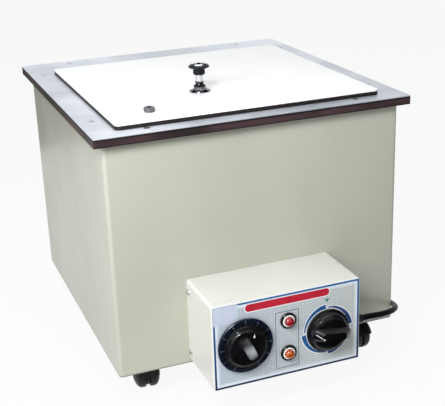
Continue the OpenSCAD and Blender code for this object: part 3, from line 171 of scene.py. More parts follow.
def background_ray(tree):
    """1 for a camera, glossy or transmission ray, and 0 for light that falls on a surface."""
    path = tree.nodes.new("ShaderNodeLightPath")
    total = path.outputs["Is Camera Ray"]
    for name in ("Is Glossy Ray", "Is Transmission Ray"):
        add = tree.nodes.new("ShaderNodeMath")
        add.operation = "ADD"
        add.use_clamp = True
        tree.links.new(total, add.inputs[0])
        tree.links.new(path.outputs[name], add.inputs[1])
        total = add.outputs[0]
    return total


def make_world():
    """White surround that shows as white and lights at a plain level."""
    world = bpy.data.worlds.new("studio")
    SCENE.world = world
    world.use_nodes = True
    tree = world.node_tree
    tree.nodes.clear()
    out = tree.nodes.new("ShaderNodeOutputWorld")
    mix = tree.nodes.new("ShaderNodeMixShader")
    soft = tree.nodes.new("ShaderNodeBackground")
    soft.inputs["Color"].default_value = (1, 1, 1, 1)
    soft.inputs["Strength"].default_value = WORLD_STRENGTH
    white = tree.nodes.new("ShaderNodeBackground")
    white.inputs["Color"].default_value = (1, 1, 1, 1)
    white.inputs["Strength"].default_value = 1
    tree.links.new(background_ray(tree), mix.inputs["Fac"])
    tree.links.new(soft.outputs[0], mix.inputs[1])
    tree.links.new(white.outputs[0], mix.inputs[2])
    tree.links.new(mix.outputs[0], out.inputs["Surface"])


def make_floor():
    """Pale floor that keeps the object's shadow."""
    floor = flat_sheet("floor", FLOOR_SIZE, FLOOR_SIZE)
    mat = bpy.data.materials.new("floor_white")
    mat.use_nodes = True
    tree = mat.node_tree
    tree.nodes.clear()
    out = tree.nodes.new("ShaderNodeOutputMaterial")
    matt = tree.nodes.new("ShaderNodeBsdfDiffuse")
    matt.inputs["Color"].default_value = rgb(FLOOR_MATT)
    glow = tree.nodes.new("ShaderNodeEmission")
    glow.inputs["Color"].default_value = (1, 1, 1, 1)
    mix = tree.nodes.new("ShaderNodeMixShader")
    share = tree.nodes.new("ShaderNodeMath")
    share.operation = "MULTIPLY"
    share.inputs[1].default_value = FLOOR_WHITE
    tree.links.new(background_ray(tree), share.inputs[0])
    tree.links.new(share.outputs[0], mix.inputs["Fac"])
    tree.links.new(matt.outputs[0], mix.inputs[1])
    tree.links.new(glow.outputs[0], mix.inputs[2])
    tree.links.new(mix.outputs[0], out.inputs["Surface"])
    floor.data.materials.append(mat)


def dark_card(name, place, target, width, height):
    """Black card that only reflections see."""
    card = flat_sheet(name, width, height)
    card.matrix_world = facing(place, target)
    mat = bpy.data.materials.new(name)
    mat.use_nodes = True
    shader = mat.node_tree.nodes["Principled BSDF"]
    shader.inputs["Base Color"].default_value = CARD_COLOUR
    shader.inputs["Roughness"].default_value = 1
    shader.inputs["Specular IOR Level"].default_value = 0
    card.data.materials.append(mat)
    card.visible_camera = False
    card.visible_diffuse = False
    card.visible_shadow = False
    card.visible_transmission = False


SCENE.view_settings.view_transform = "Standard"
make_camera()
make_world()
make_floor()
for lamp_name, lamp_settings in LAMPS.items():
    area_lamp(lamp_name, *lamp_settings)
for card_name, card_settings in CARDS.items():
    dark_card(card_name, *card_settings)


# Materials

# Most of a noise texture lies between these
NOISE_LOW, NOISE_HIGH = 0.3, 0.7
RING_FADE = 0.5 * MM


class Finish:
    """A Principled material, and the nodes that vary it, in the object's own coordinates."""

    def __init__(self, name, colour, rough=0.5, metal=0.0, coat=0.0, coat_rough=0.05,
                 specular=0.5):
        self.material = bpy.data.materials.new(name)
        self.material.use_nodes = True
        self.tree = self.material.node_tree
        self.shader = self.tree.nodes["Principled BSDF"]
        self.set("Base Color", rgb(colour))
        self.set("Roughness", rough)
        self.set("Metallic", metal)
        self.set("Coat Weight", coat)
        self.set("Coat Roughness", coat_rough)
        self.set("Specular IOR Level", specular)
        self.coordinates = self.tree.nodes.new("ShaderNodeTexCoord").outputs["Object"]
        self.normal = None

    def set(self, socket, value):
        self.shader.inputs[socket].default_value = value

    def node(self, kind, **values):
        made = self.tree.nodes.new(kind)
        for name, value in values.items():
            setattr(made, name, value)
        return made

    def stretched(self, scale):
        """Coordinates scaled by (x, y, z)."""
        mapping = self.node("ShaderNodeMapping")
        mapping.inputs["Scale"].default_value = scale
        self.tree.links.new(self.coordinates, mapping.inputs["Vector"])
        return mapping.outputs["Vector"]

    def noise(self, scale, detail=3, stretch=(1, 1, 1), roughness=0.55):
        made = self.node("ShaderNodeTexNoise")
        made.inputs["Scale"].default_value = scale
        made.inputs["Detail"].default_value = detail
        made.inputs["Roughness"].default_value = roughness
        self.tree.links.new(self.stretched(stretch), made.inputs["Vector"])
        return made.outputs["Fac"]

    def cells(self, scale):
        made = self.node("ShaderNodeTexVoronoi")
        made.inputs["Scale"].default_value = scale
        self.tree.links.new(self.coordinates, made.inputs["Vector"])
        return made.outputs["Distance"]

    def axis(self, name):
        """One of the object's own coordinates, X, Y or Z; Z is the height above the floor."""
        parts = self.node("ShaderNodeSeparateXYZ")
        self.tree.links.new(self.coordinates, parts.inputs[0])
        return parts.outputs[name]

    def combined(self, operation, first, second):
        """Two values, each a socket or a number, joined by a Math node."""
        made = self.node("ShaderNodeMath", operation=operation)
        for socket, value in zip(made.inputs, (first, second)):
            if isinstance(value, float):
                socket.default_value = value
            else:
                self.tree.links.new(value, socket)
        return made.outputs[0]

    def ranged(self, value, low, high, new_low, new_high):
        """Value moved from low..high to new_low..new_high."""
        made = self.node("ShaderNodeMapRange")
        for name, number in (("From Min", low), ("From Max", high),
                             ("To Min", new_low), ("To Max", new_high)):
            made.inputs[name].default_value = number
        self.tree.links.new(value, made.inputs["Value"])
        return made.outputs["Result"]

    def mixed(self, factor, first, second):
        """Colour between two codes or sockets."""
        made = self.node("ShaderNodeMix", data_type="RGBA")
        self.tree.links.new(factor, made.inputs["Factor"])
        for name, value in (("A", first), ("B", second)):
            socket = [s for s in made.inputs if s.name == name and s.type == "RGBA"][0]
            if isinstance(value, str):
                socket.default_value = rgb(value)
            else:
                self.tree.links.new(value, socket)
        return [s for s in made.outputs if s.type == "RGBA"][0]

    def between(self, value, low, high, first, second):
        """Colour that goes from the first where value is low to the second where it is high."""
        return self.mixed(self.ranged(value, low, high, 0, 1), first, second)

    def ramp(self, value, stops):
        """Colour from stops of place and code."""
        made = self.node("ShaderNodeValToRGB")
        self.tree.links.new(value, made.inputs["Fac"])
        marks = made.color_ramp.elements
        while len(marks) < len(stops):
            marks.new(0.5)
        for mark, (place, code) in zip(marks, stops):
            mark.position = place
            mark.color = rgb(code)
        return made.outputs["Color"]

    def colour(self, socket):
        self.tree.links.new(socket, self.shader.inputs["Base Color"])
        return self

    def roughness(self, socket):
        self.tree.links.new(socket, self.shader.inputs["Roughness"])
        return self

    def rough_by(self, value, smooth, rough):
        """Roughness that follows a noise."""
        return self.roughness(self.ranged(value, NOISE_LOW, NOISE_HIGH, smooth, rough))

    def bump(self, height, depth_mm, strength=1.0):
        """Small relief of a real depth, over what is there already."""
        made = self.node("ShaderNodeBump")
        made.inputs["Strength"].default_value = strength
        made.inputs["Distance"].default_value = depth_mm * MM
        self.tree.links.new(height, made.inputs["Height"])
        if self.normal is not None:
            self.tree.links.new(self.normal, made.inputs["Normal"])
        self.normal = made.outputs["Normal"]
        self.tree.links.new(self.normal, self.shader.inputs["Normal"])
        return self

    def ring(self, node, inner, outer, fade=RING_FADE):
        """1 between two distances from the line through a shaft's middle, and 0 elsewhere."""
        away = self.node("ShaderNodeVectorMath", operation="SUBTRACT")
        self.tree.links.new(self.coordinates, away.inputs[0])
        away.inputs[1].default_value = middle(node)
        flat = self.node("ShaderNodeVectorMath", operation="MULTIPLY")
        self.tree.links.new(away.outputs[0], flat.inputs[0])
        flat.inputs[1].default_value = (1, 0, 1)
        far = self.node("ShaderNodeVectorMath", operation="LENGTH")
        self.tree.links.new(flat.outputs[0], far.inputs[0])
        inside = self.ranged(far.outputs["Value"], outer - fade, outer, 1, 0)
        beyond = self.ranged(far.outputs["Value"], inner - RING_FADE, inner, 0, 1)
        return self.combined("MULTIPLY", inside, beyond)

    def edge_distance(self, node):
        """Distance in metres from the nearest edge of a panel that faces forward."""
        low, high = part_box(node)
        least = None
        for axis, start, sign in (("X", low.x, 1), ("X", high.x, -1),
                                  ("Z", low.z, 1), ("Z", high.z, -1)):
            away = self.ranged(self.axis(axis), start, start + sign, 0, 1)
            away.node.clamp = False
            least = away if least is None else self.combined("MINIMUM", least, away)
        return least


def cream_enamel():
    """Baked cream paint on the casing: orange peel, upright drifts of shade, and painted shade
    along the bottom hem.
    """
    f = Finish("cream_enamel", "b0b2a5", rough=0.4, coat=0.3, coat_rough=0.2, specular=0.4)
    drift = f.noise(4, 3, stretch=(1, 1, 0.3))
    paint = f.between(drift, NOISE_LOW, NOISE_HIGH, "a9ab9d", "b8baad")
    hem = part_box("outer_casing")[0].z
    # Painted shade: the lowest 2 mm of the casing darken to a dark line at its foot.
    f.colour(f.between(f.axis("Z"), hem + 0.6 * MM, hem + 2 * MM, "6f6f68", paint))
    f.rough_by(f.noise(14, 4), 0.34, 0.48)
    f.bump(f.noise(1.4, 2), 2.2, 0.35)
    return f.bump(f.noise(620, 2), 0.035, 0.5)


def white_enamel():
    """White powder coat on the control box."""
    f = Finish("white_enamel", "d1d1cc", rough=0.38, coat=0.3, coat_rough=0.25)
    f.colour(f.between(f.noise(9, 3), NOISE_LOW, NOISE_HIGH, "cdcdc7", "d5d5d1"))
    f.rough_by(f.noise(30, 4), 0.33, 0.45)
    return f.bump(f.noise(700, 2), 0.04, 0.6)


def stainless():
    """Rolled stainless sheet: fine grain along the sheet, wipe marks and small scratches."""
    f = Finish("stainless", "d6dbe4", rough=0.42, metal=0.75)
    grain = f.noise(160, 4, stretch=(1, 0.04, 1), roughness=0.7)
    wiped = f.noise(5, 4)
    f.colour(f.between(wiped, 0.32, 0.62, "b3b9c2", "e2e6ee"))
    f.rough_by(wiped, 0.36, 0.55)
    return f.bump(grain, 0.012, 0.35)


def galvanised():
    """Zinc-coated sheet with its spangle."""
    f = Finish("galvanised", "9a9ea0", rough=0.45, metal=0.85)
    f.colour(f.mixed(f.cells(90), "85898c", "adb1b3"))
    f.roughness(f.ranged(f.cells(90), 0, 0.8, 0.35, 0.6))
    return f.bump(f.noise(300, 3), 0.02, 0.4)


def zinc_screw():
    """Bright zinc plate on screws and nuts."""
    f = Finish("zinc_screw", "b9bcc0", rough=0.3, metal=1)
    f.colour(f.mixed(f.noise(400, 3), "a3a6aa", "cfd2d6"))
    return f.rough_by(f.noise(250, 3), 0.22, 0.42)


def brown_board():
    """Dark varnished board: long grain on its edge, ply lines and darker, rubbed patches, a
    painted shadow line under the steel flange along the top of its edge, and a darker line along
    its foot.
    """
    f = Finish("brown_board", "3f3031", rough=0.45, specular=0.25)
    grain = f.noise(16, 6, stretch=(1, 1, 30), roughness=0.7)
    patch = f.noise(9, 3)
    shade = f.between(patch, 0.35, 0.68, "2a1f21", "5b4448")
    wood = f.mixed(f.ranged(grain, 0.35, 0.7, 0, 0.8), shade, "1d1415")
    low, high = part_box("top_board")
    # Painted shadow: a black band near the top of the board's edge, under the steel flange's lip.
    wood_under_flange_shadow = f.between(f.axis("Z"), high.z - 2.4 * MM, high.z - 1.6 * MM, wood, "0d0a0a")
    f.colour(f.between(f.axis("Z"), low.z + 0.8 * MM, low.z + 1.6 * MM, "191112", wood_under_flange_shadow))
    f.rough_by(grain, 0.32, 0.55)
    f.bump(f.noise(40, 4, stretch=(1, 1, 12)), 0.25, 0.5)
    return f.bump(f.noise(260, 3), 0.06, 0.5)


def black_board():
    """Dark phenolic board under the lid's laminate."""
    f = Finish("black_board", "181314", rough=0.5, specular=0.2)
    f.colour(f.mixed(f.noise(60, 4, stretch=(1, 1, 10)), "0e0b0c", "241d1e"))
    return f.bump(f.noise(240, 3), 0.06, 0.5)


def white_laminate():
    """White laminate: a fine pebble and very light rubbing."""
    f = Finish("white_laminate", "f0f1f2", rough=0.4, specular=0.35)
    f.colour(f.between(f.noise(6, 3), NOISE_LOW, NOISE_HIGH, "eeeff0", "f3f4f4"))
    f.rough_by(f.noise(18, 3), 0.36, 0.44)
    return f.bump(f.cells(1100), 0.03, 0.35)


# Painted reflections along the lid knob's height, from its foot to its top: dark bands, bright
# bands, and a painted highlight at the dome's top
CHROME_PAINTED_REFLECTIONS = (
    (0, "6f7175"), (0.14, "6f7175"), (0.19, "26282b"), (0.33, "34363a"), (0.38, "d2d4d8"),
    (0.56, "d2d4d8"), (0.61, "2a2c2f"), (0.8, "232528"), (0.93, "3c3e42"), (0.97, "e2e4e8"))


def chrome():
    """Chrome plate with painted reflections: bright bands on the neck and the dome's top, dark
    bands on the collars and rims.
    """
    f = Finish("chrome", "7d7f83", rough=0.07, metal=1)
    low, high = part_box("lid_knob")
    share = f.ranged(f.axis("Z"), low.z, high.z, 0, 1)
    # Painted reflections: the chrome's colour is banded light and dark by height.
    f.colour(f.ramp(share, CHROME_PAINTED_REFLECTIONS))
    f.rough_by(f.noise(120, 4), 0.04, 0.12)
    return f.bump(f.noise(220, 2), 0.004, 0.5)


def glass_wool():
    """Yellow glass wool: matted fibres."""
    f = Finish("glass_wool", "dcc063", rough=0.95)
    fibres = f.noise(220, 6, stretch=(1, 1, 0.15), roughness=0.8)
    f.colour(f.mixed(fibres, "b99438", "f1dc93"))
    return f.bump(fibres, 1.5, 0.9)


def heater_sheath():
    """Oxidised metal sheath, straw and blue where it has been hot."""
    f = Finish("heater_sheath", "6d6a68", rough=0.42, metal=0.9)
    f.colour(f.between(f.noise(30, 3), 0.35, 0.65, "5c5566", "86775e"))
    return f.bump(f.noise(500, 3), 0.02, 0.5)


def brass_case():
    """Passivated case of the thermostat."""
    f = Finish("brass_case", "b9a98a", rough=0.35, metal=0.9)
    f.colour(f.mixed(f.noise(60, 4), "a38f63", "cdbf9f"))
    return f.rough_by(f.noise(90, 3), 0.28, 0.45)


def copper_tube():
    """Drawn copper, a little dulled."""
    f = Finish("copper_tube", "b87a4b", rough=0.32, metal=1)
    f.colour(f.mixed(f.noise(150, 3), "9c5f38", "cf9166"))
    return f.rough_by(f.noise(200, 3), 0.25, 0.45)


def phenolic():
    """Brown moulded phenolic."""
    f = Finish("phenolic", "5a4636", rough=0.4, coat=0.2)
    f.colour(f.mixed(f.noise(300, 4), "4b382b", "6a5443"))
    return f.bump(f.noise(500, 2), 0.02, 0.4)


def ceramic():
    """Unglazed steatite."""
    f = Finish("ceramic", "e9e3d2", rough=0.6)
    f.colour(f.mixed(f.noise(120, 4), "ddd6c2", "f1ecdf"))
    return f.bump(f.noise(400, 3), 0.04, 0.5)


def lamp_shell():
    """Off-white moulding behind the lamps."""
    f = Finish("lamp_shell", "dadad2", rough=0.45)
    f.colour(f.mixed(f.noise(80, 3), "d2d2c8", "e2e2dc"))
    return f.bump(f.noise(500, 2), 0.02, 0.4)


def wire_sleeve():
    """Sleeving of the inner leads: dark at the inlet, paler towards the heater."""
    f = Finish("wire_sleeve", "8c857a", rough=0.5)
    f.colour(f.between(f.axis("Z"), 0.06, 0.13, "2c2e33", "ded9cc"))
    return f.bump(f.noise(900, 2), 0.03, 0.5)


def black_knob():
    """Glossy black moulding of the dial and the heat knob, with a painted highlight on the dial
    grip's front face.
    """
    f = Finish("black_knob", "0b0c0e", rough=0.26, coat=0.12, coat_rough=0.06, specular=0.22)
    body = f.between(f.noise(40, 4), 0.35, 0.7, "070809", "111316")
    body = f.mixed(f.ring("thermostat_shaft", 30 * MM, 37 * MM), body, "0b1324")
    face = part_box("thermostat_dial")[0].y
    # Painted highlight: grey on the dial grip's front face, brightest at the shaft and gone 12 mm
    # out.
    near_grip_face = f.ranged(f.axis("Y"), face + 0.4 * MM, face + 3 * MM, 1, 0)
    painted_grip_highlight = f.combined("MULTIPLY", near_grip_face, f.ring("thermostat_shaft", -1, 12 * MM, 9 * MM))
    f.colour(f.mixed(painted_grip_highlight, body, f.mixed(f.noise(110, 2), "5c5e62", "c0c3c8")))
    f.rough_by(f.noise(70, 4), 0.18, 0.36)
    return f.bump(f.noise(400, 2), 0.012, 0.4)


def printed_panel():
    """Reverse-printed polyester: pale grey-blue ground with a fine square grid."""
    f = Finish("printed_panel", "c3ced6", rough=0.34, coat=0.1, coat_rough=0.15, specular=0.35)
    pitch = 3.8 * MM
    line = 0.16 * pitch
    lines = [f.ranged(f.combined("PINGPONG", f.axis(name), pitch / 2), 0, line, 1, 0)
             for name in ("X", "Z")]
    either = f.combined("MAXIMUM", *lines)
    low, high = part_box("fascia_panel")
    across = f.ranged(f.axis("X"), low.x, high.x, 0, 1)
    ground = f.mixed(across, f.mixed(f.noise(14, 3), "b0bcc9", "bcc7d2"),
                     f.mixed(f.noise(14, 3), "c0c6c3", "ced3cf"))
    lined = f.mixed(f.ranged(either, 0, 1, 0, 0.5), ground, "8797a4")
    glow = f.ranged(f.edge_distance("fascia_panel"), 3.6 * MM, 8 * MM, 0.9, 0)
    f.colour(f.mixed(glow, lined, "dfe9f4"))
    return f.rough_by(f.noise(40, 3), 0.24, 0.38)


def white_collar():
    """White nylon collar of a lamp."""
    f = Finish("white_collar", "f0f0ee", rough=0.35)
    f.colour(f.mixed(f.noise(200, 3), "e9e9e6", "f4f4f2"))
    return f.bump(f.noise(500, 2), 0.015, 0.3)


def tinted_lens(name, deep, bright):
    """Lens of one lamp: clear tinted plastic, moulded in fine flutes inside."""
    f = Finish(name, bright, rough=0.14, coat=0.6, coat_rough=0.04)
    f.set("Transmission Weight", 0.25)
    f.set("Subsurface Weight", 0.25)
    f.set("Subsurface Scale", 0.003)
    f.colour(f.between(f.cells(520), 0.1, 0.7, bright, deep))
    return f.bump(f.cells(520), 0.08, 0.5)


def red_lens():
    """Red lens, for mains on."""
    return tinted_lens("red_lens", "8a0d1e", "cf2136")


def amber_lens():
    """Amber lens, for heating."""
    return tinted_lens("amber_lens", "a8420c", "e8792a")


def black_rubber():
    """Matt black rubber of the strain relief."""
    f = Finish("black_rubber", "17181a", rough=0.55, specular=0.25)
    f.colour(f.mixed(f.noise(150, 4), "101113", "212326"))
    return f.bump(f.noise(500, 3), 0.04, 0.5)


def lead_sheath():
    """Black sheath of the mains lead: soft gloss and a faint lengthwise wave."""
    f = Finish("lead_sheath", "0c0d0e", rough=0.26, coat=0.03, coat_rough=0.1, specular=0.06)
    f.colour(f.mixed(f.noise(60, 4), "08090a", "111214"))
    f.rough_by(f.noise(45, 4), 0.24, 0.4)
    return f.bump(f.noise(130, 3), 0.12, 0.5)


def plug_moulding():
    """Black moulded plug with a spark-eroded skin."""
    f = Finish("plug_moulding", "151618", rough=0.5, specular=0.25)
    f.colour(f.mixed(f.noise(120, 4), "0f1012", "1e2023"))
    return f.bump(f.cells(900), 0.05, 0.5)


def plug_brass():
    """Nickelled brass pins."""
    f = Finish("plug_brass", "cfc8b4", rough=0.22, metal=1)
    f.colour(f.mixed(f.noise(200, 3), "c2b894", "dad6c8"))
    return f.rough_by(f.noise(260, 3), 0.15, 0.32)


def black_nylon():
    """Black moulded hood of a castor."""
    f = Finish("black_nylon", "161415", rough=0.4, specular=0.25)
    f.colour(f.mixed(f.noise(90, 4), "0a0909", "171414"))
    return f.bump(f.cells(800), 0.03, 0.5)


def wheel_nylon():
    """Dark moulded wheel with a rubbed, dusty tread."""
    f = Finish("wheel_nylon", "1c1718", rough=0.36, coat=0.05, specular=0.25)
    dust = f.noise(110, 5)
    f.colour(f.between(dust, 0.45, 0.75, "100c0d", "2b2021"))
    f.rough_by(dust, 0.28, 0.55)
    return f.bump(f.noise(300, 3), 0.03, 0.5)


def tie_strap():
    """Woven hook-and-loop strap round the coil."""
    f = Finish("tie_strap", "26272b", rough=0.9)
    f.colour(f.mixed(f.cells(1400), "34363b", "17181b"))
    return f.bump(f.cells(1400), 0.25, 0.9)


def print_ink(name, colour, darker):
    """One ink of the printed panel."""
    f = Finish(name, colour, rough=0.36, coat=0.05, coat_rough=0.15, specular=0.25)
    return f.colour(f.between(f.noise(90, 4), 0.35, 0.7, colour, darker))


def border_ink():
    """The border's ink: blue along the top, navy along the foot."""
    f = Finish("border_ink", "2c5590", rough=0.36, coat=0.05, coat_rough=0.15, specular=0.25)
    low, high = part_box("fascia_panel")
    return f.colour(f.between(f.axis("Z"), low.z, high.z, "15244a", "326499"))


SLOT_FINISHES = [
    cream_enamel, white_enamel, stainless, galvanised, zinc_screw, brown_board, black_board,
    white_laminate, chrome, glass_wool, heater_sheath, brass_case, copper_tube, phenolic,
    ceramic, lamp_shell, wire_sleeve, black_knob, printed_panel, white_collar, red_lens,
    amber_lens, black_rubber, lead_sheath, plug_moulding, plug_brass, black_nylon,
    wheel_nylon, tie_strap]
FINISHES = {make.__name__: make().material for make in SLOT_FINISHES}
for part in frame["record"]["subparts"]:
    node = frame["nodes"][part["node"]]
    node.data.materials.clear()
    node.data.materials.append(FINISHES[part["material_slot"]])

INKS = {
    "border_ink": border_ink().material,
    "blue_ink": print_ink("blue_ink", "24629c", "1a5088").material,
    "navy_ink": print_ink("navy_ink", "2b4a88", "233c74").material,
    "red_ink": print_ink("red_ink", "c02238", "b01c30").material,
    "white_ink": print_ink("white_ink", "eef2f5", "e2e8ee").material,
    "pale_ink": print_ink("pale_ink", "c2cadb", "b9c2d5").material,
    "grey_ink": print_ink("grey_ink", "55606e", "465260").material,
    "green_ink": print_ink("green_ink", "2f8f7c", "237565").material,
    "scale_ink": print_ink("scale_ink", "66748a", "56637a").material,
}


# Pieces

def add_piece(name, verts, faces, body, material):
    """Mesh piece that rides on a body."""
    mesh = bpy.data.meshes.new(name)
    mesh.from_pydata([tuple(v) for v in verts], [], faces)
    mesh.validate()
    work = bmesh.new()
    work.from_mesh(mesh)
    bmesh.ops.recalc_face_normals(work, faces=work.faces)
    work.to_mesh(mesh)
    work.free()
    mesh.materials.append(material)
    piece = bpy.data.objects.new(name, mesh)
    SCENE.collection.objects.link(piece)
    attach(piece, body)


# Print, and painted highlights on the knobs

# The control panel's print: places from the box's lower left corner, in millimetres
BORDER_W = 2.5
BORDER_EDGE = 1.4
CORNER_PATCH = (33, 25)
BANNER_MIDDLE = (97, 101)
BANNER_W = 110
BANNER_H = 9.6
HALO = 1.1
LAMP_FRAME = (80.5, 11.5, 111, 87)
LAMP_LINE = 0.7
ARC_THIN = (29.3, 30.9)
ARC_THICK = (28.4, 34.3)
ARC_STEPS = 20
TRIANGLE_TOP = 41.6
TRIANGLE_W = 6.4
TRIANGLE_H = 4.8
ARC_GAP = 3
ARC_SWEEP = 84
PATCH_INSET = 0.4
INK_T = 0.06
HALO_T = 0.03
INK_SUNK = 0.02

# The dial's scale, and the painted highlights in white ink on both knobs, in millimetres
SCALE_R = 31.6
SCALE_FROM = -150
SCALE_STEP = 30
SCALE_NUMBERS = range(0, 11)
NUMBER_H = 3.1
# A font's size for each millimetre of its numbers' height
FONT_SIZE = 1.36
SCALE_T = 0.04
TICK_R = (27.9, 28.9)
TICK_HALF = 0.22
SHORT_TICK = 0.4
MARK_T = 0.08
# Painted highlights on the dial's hub: a white dot and a white drop
DOT_R = 23.9
DOT_ANGLE = 118.5
DOT_D = 2.1
DOT_STEPS = 24
DROP_PLACE = (8.3, 12.9)
DROP_R = 1.15
DROP_TIP = (8.7, 17)
# Painted highlight on the heat knob's bar: a white line, and a white dot at its upper end
HIGHLIGHT_LINE_START = (-22.6, 5.2)
HIGHLIGHT_LINE_END = (-14.4, -0.6)
HIGHLIGHT_LINE_HALF = 0.35
HIGHLIGHT_LINE_STEPS = 8
HEAT_DOT_SHIFT = (0.4, -0.3)
HEAT_DOT_R = 0.95
HEAT_DOT_T = 0.1

surfaces = {}


def surface_of(node):
    """Search tree of a CAD node's faces."""
    if node not in surfaces:
        mesh = frame["nodes"][node].data
        surfaces[node] = BVHTree.FromPolygons([v.co for v in mesh.vertices],
                                              [p.vertices[:] for p in mesh.polygons])
    return surfaces[node]


def front_of(node, x, z):
    """How far forward a CAD node's surface lies at (x, z), seen from the front."""
    place = surface_of(node).ray_cast(Vector((x, -1, z)), Vector((0, 1, 0)))[0]
    return place.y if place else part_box(node)[0].y


def ink(name, points, faces, node, body, material, lift_mm=INK_T):
    """Thin layer with a flat outline, given in millimetres, that follows a node's front."""
    count = len(points)
    flat = [(x * MM, z * MM) for x, z in points]
    depths = [front_of(node, x, z) for x, z in flat]
    verts = [(x, y - lift_mm * MM, z) for (x, z), y in zip(flat, depths)]
    verts += [(x, y + INK_SUNK * MM, z) for (x, z), y in zip(flat, depths)]
    edges = {}
    for face in faces:
        for a, b in zip(face, face[1:] + face[:1]):
            edges[frozenset((a, b))] = edges.get(frozenset((a, b)), 0) + 1
    walls = []
    for face in faces:
        for a, b in zip(face, face[1:] + face[:1]):
            if edges[frozenset((a, b))] == 1:
                walls.append([b, a, a + count, b + count])
    back = [[i + count for i in reversed(face)] for face in faces]
    add_piece(name, verts, [list(f) for f in faces] + back + walls, body, material)


def strip_faces(count, closed=False):
    """Faces between two lines of count points, listed one line after the other."""
    last = count if closed else count - 1
    return [[i, (i + 1) % count, count + (i + 1) % count, count + i] for i in range(last)]


def on_circle(centre, r, angle):
    """Point on a circle at an angle in degrees, anticlockwise from the right."""
    turn = math.radians(angle)
    return (centre[0] + r * math.cos(turn), centre[1] + r * math.sin(turn))


def around(centre, r, start, end, steps):
    """Points on an arc between two angles."""
    return [on_circle(centre, r, start + (end - start) * k / steps) for k in range(steps + 1)]


def disc(centre, r):
    """Outline of a round dot."""
    return around(centre, r, 0, 360 - 360 / DOT_STEPS, DOT_STEPS - 1)


def pill(centre, width, height):
    """Outline of a bar with round ends."""
    x, z = centre
    reach = (width - height) / 2
    return (around((x + reach, z), height / 2, -90, 90, 12)
            + around((x - reach, z), height / 2, 90, 270, 12))


def panel_print():
    """Everything printed on the control panel."""
    low, high = (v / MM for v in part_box("control_cover"))
    left, base = low.x, low.z
    width, height = high.x - low.x, high.z - low.z

    def printed(name, points, faces, colour, lift=INK_T):
        """Ink on the panel, at places from the box's lower left corner."""
        spots = [(left + u, base + v) for u, v in points]
        ink(name, spots, faces, "fascia_panel", "bath", INKS[colour], lift)

    e, w = BORDER_EDGE, BORDER_W
    patch_u, patch_v = CORNER_PATCH[0], height - CORNER_PATCH[1]
    outer = [(patch_u, height - e), (width - e, height - e), (width - e, e), (e, e), (e, patch_v)]
    inner = [(patch_u, height - e - w), (width - e - w, height - e - w),
             (width - e - w, e + w), (e + w, e + w), (e + w, patch_v)]
    printed("border_print", outer + inner, strip_faces(5), "border_ink")
    inset = e + PATCH_INSET
    patch = [(inset, patch_v), (patch_u, patch_v), (patch_u, height - inset),
             (inset, height - inset)]
    printed("corner_patch", patch, [[0, 1, 2, 3]], "pale_ink", HALO_T)
    edge_line = [(e, patch_v), (e, height - e), (patch_u, height - e),
                 (inset, patch_v), (inset, height - inset), (patch_u, height - inset)]
    printed("corner_line", edge_line, strip_faces(3), "grey_ink")

    for name, grow, colour, lift in (("banner_halo", HALO, "white_ink", HALO_T),
                                       ("banner_print", 0, "red_ink", INK_T)):
        outline = pill(BANNER_MIDDLE, BANNER_W + 2 * grow, BANNER_H + 2 * grow)
        printed(name, outline, [list(range(len(outline)))], colour, lift)

    u0, v0, u1, v1 = LAMP_FRAME
    t = LAMP_LINE
    frame_line = [(u0, v0), (u1, v0), (u1, v1), (u0, v1),
                  (u0 + t, v0 + t), (u1 - t, v0 + t), (u1 - t, v1 - t), (u0 + t, v1 - t)]
    printed("lamp_frame_print", frame_line, strip_faces(4, True), "grey_ink")

    knob = middle("heat_shaft") / MM
    knob = (knob.x - left, knob.z - base)
    top = knob[1] + TRIANGLE_TOP
    corner = [(knob[0] - TRIANGLE_W / 2, top), (knob[0] + TRIANGLE_W / 2, top),
              (knob[0], top - TRIANGLE_H)]
    printed("triangle_print", corner, [[0, 1, 2]], "green_ink")
    for k, start in enumerate((90, 0, -90, 180)):
        arc_ink = "navy_ink" if k < 2 else "blue_ink"
        for name, grow, colour, lift in (("halo", HALO, "white_ink", HALO_T),
                                         ("print", 0, arc_ink, INK_T)):
            points = []
            for side, thin, thick in zip((-1, 1), ARC_THIN, ARC_THICK):
                for step in range(ARC_STEPS + 1):
                    share = step / ARC_STEPS
                    r = thin + (thick - thin) * share + side * grow
                    turn = start - ARC_GAP - ARC_SWEEP * share
                    turn += (1 - 2 * share) * math.degrees(grow / r)
                    points.append(on_circle(knob, r, turn))
            printed("arc_%s_%d" % (name, k + 1), points, strip_faces(ARC_STEPS + 1), colour, lift)


def number_outline(text, size):
    """Flat points and faces of a plain number, its middle at the origin."""
    data = bpy.data.curves.new("number", "FONT")
    data.body = text
    data.size = size
    data.align_x = "CENTER"
    data.align_y = "CENTER"
    data.resolution_u = 2
    carrier = bpy.data.objects.new("number", data)
    SCENE.collection.objects.link(carrier)
    bpy.context.view_layer.update()
    depsgraph = bpy.context.evaluated_depsgraph_get()
    mesh = bpy.data.meshes.new_from_object(carrier.evaluated_get(depsgraph))
    work = bmesh.new()
    work.from_mesh(mesh)
    bmesh.ops.remove_doubles(work, verts=work.verts, dist=size * 0.002)
    work.verts.index_update()
    points = [(v.co.x, v.co.y) for v in work.verts]
    faces = [[v.index for v in f.verts] for f in work.faces]
    work.free()
    bpy.data.meshes.remove(mesh)
    bpy.data.objects.remove(carrier)
    bpy.data.curves.remove(data)
    return points, faces


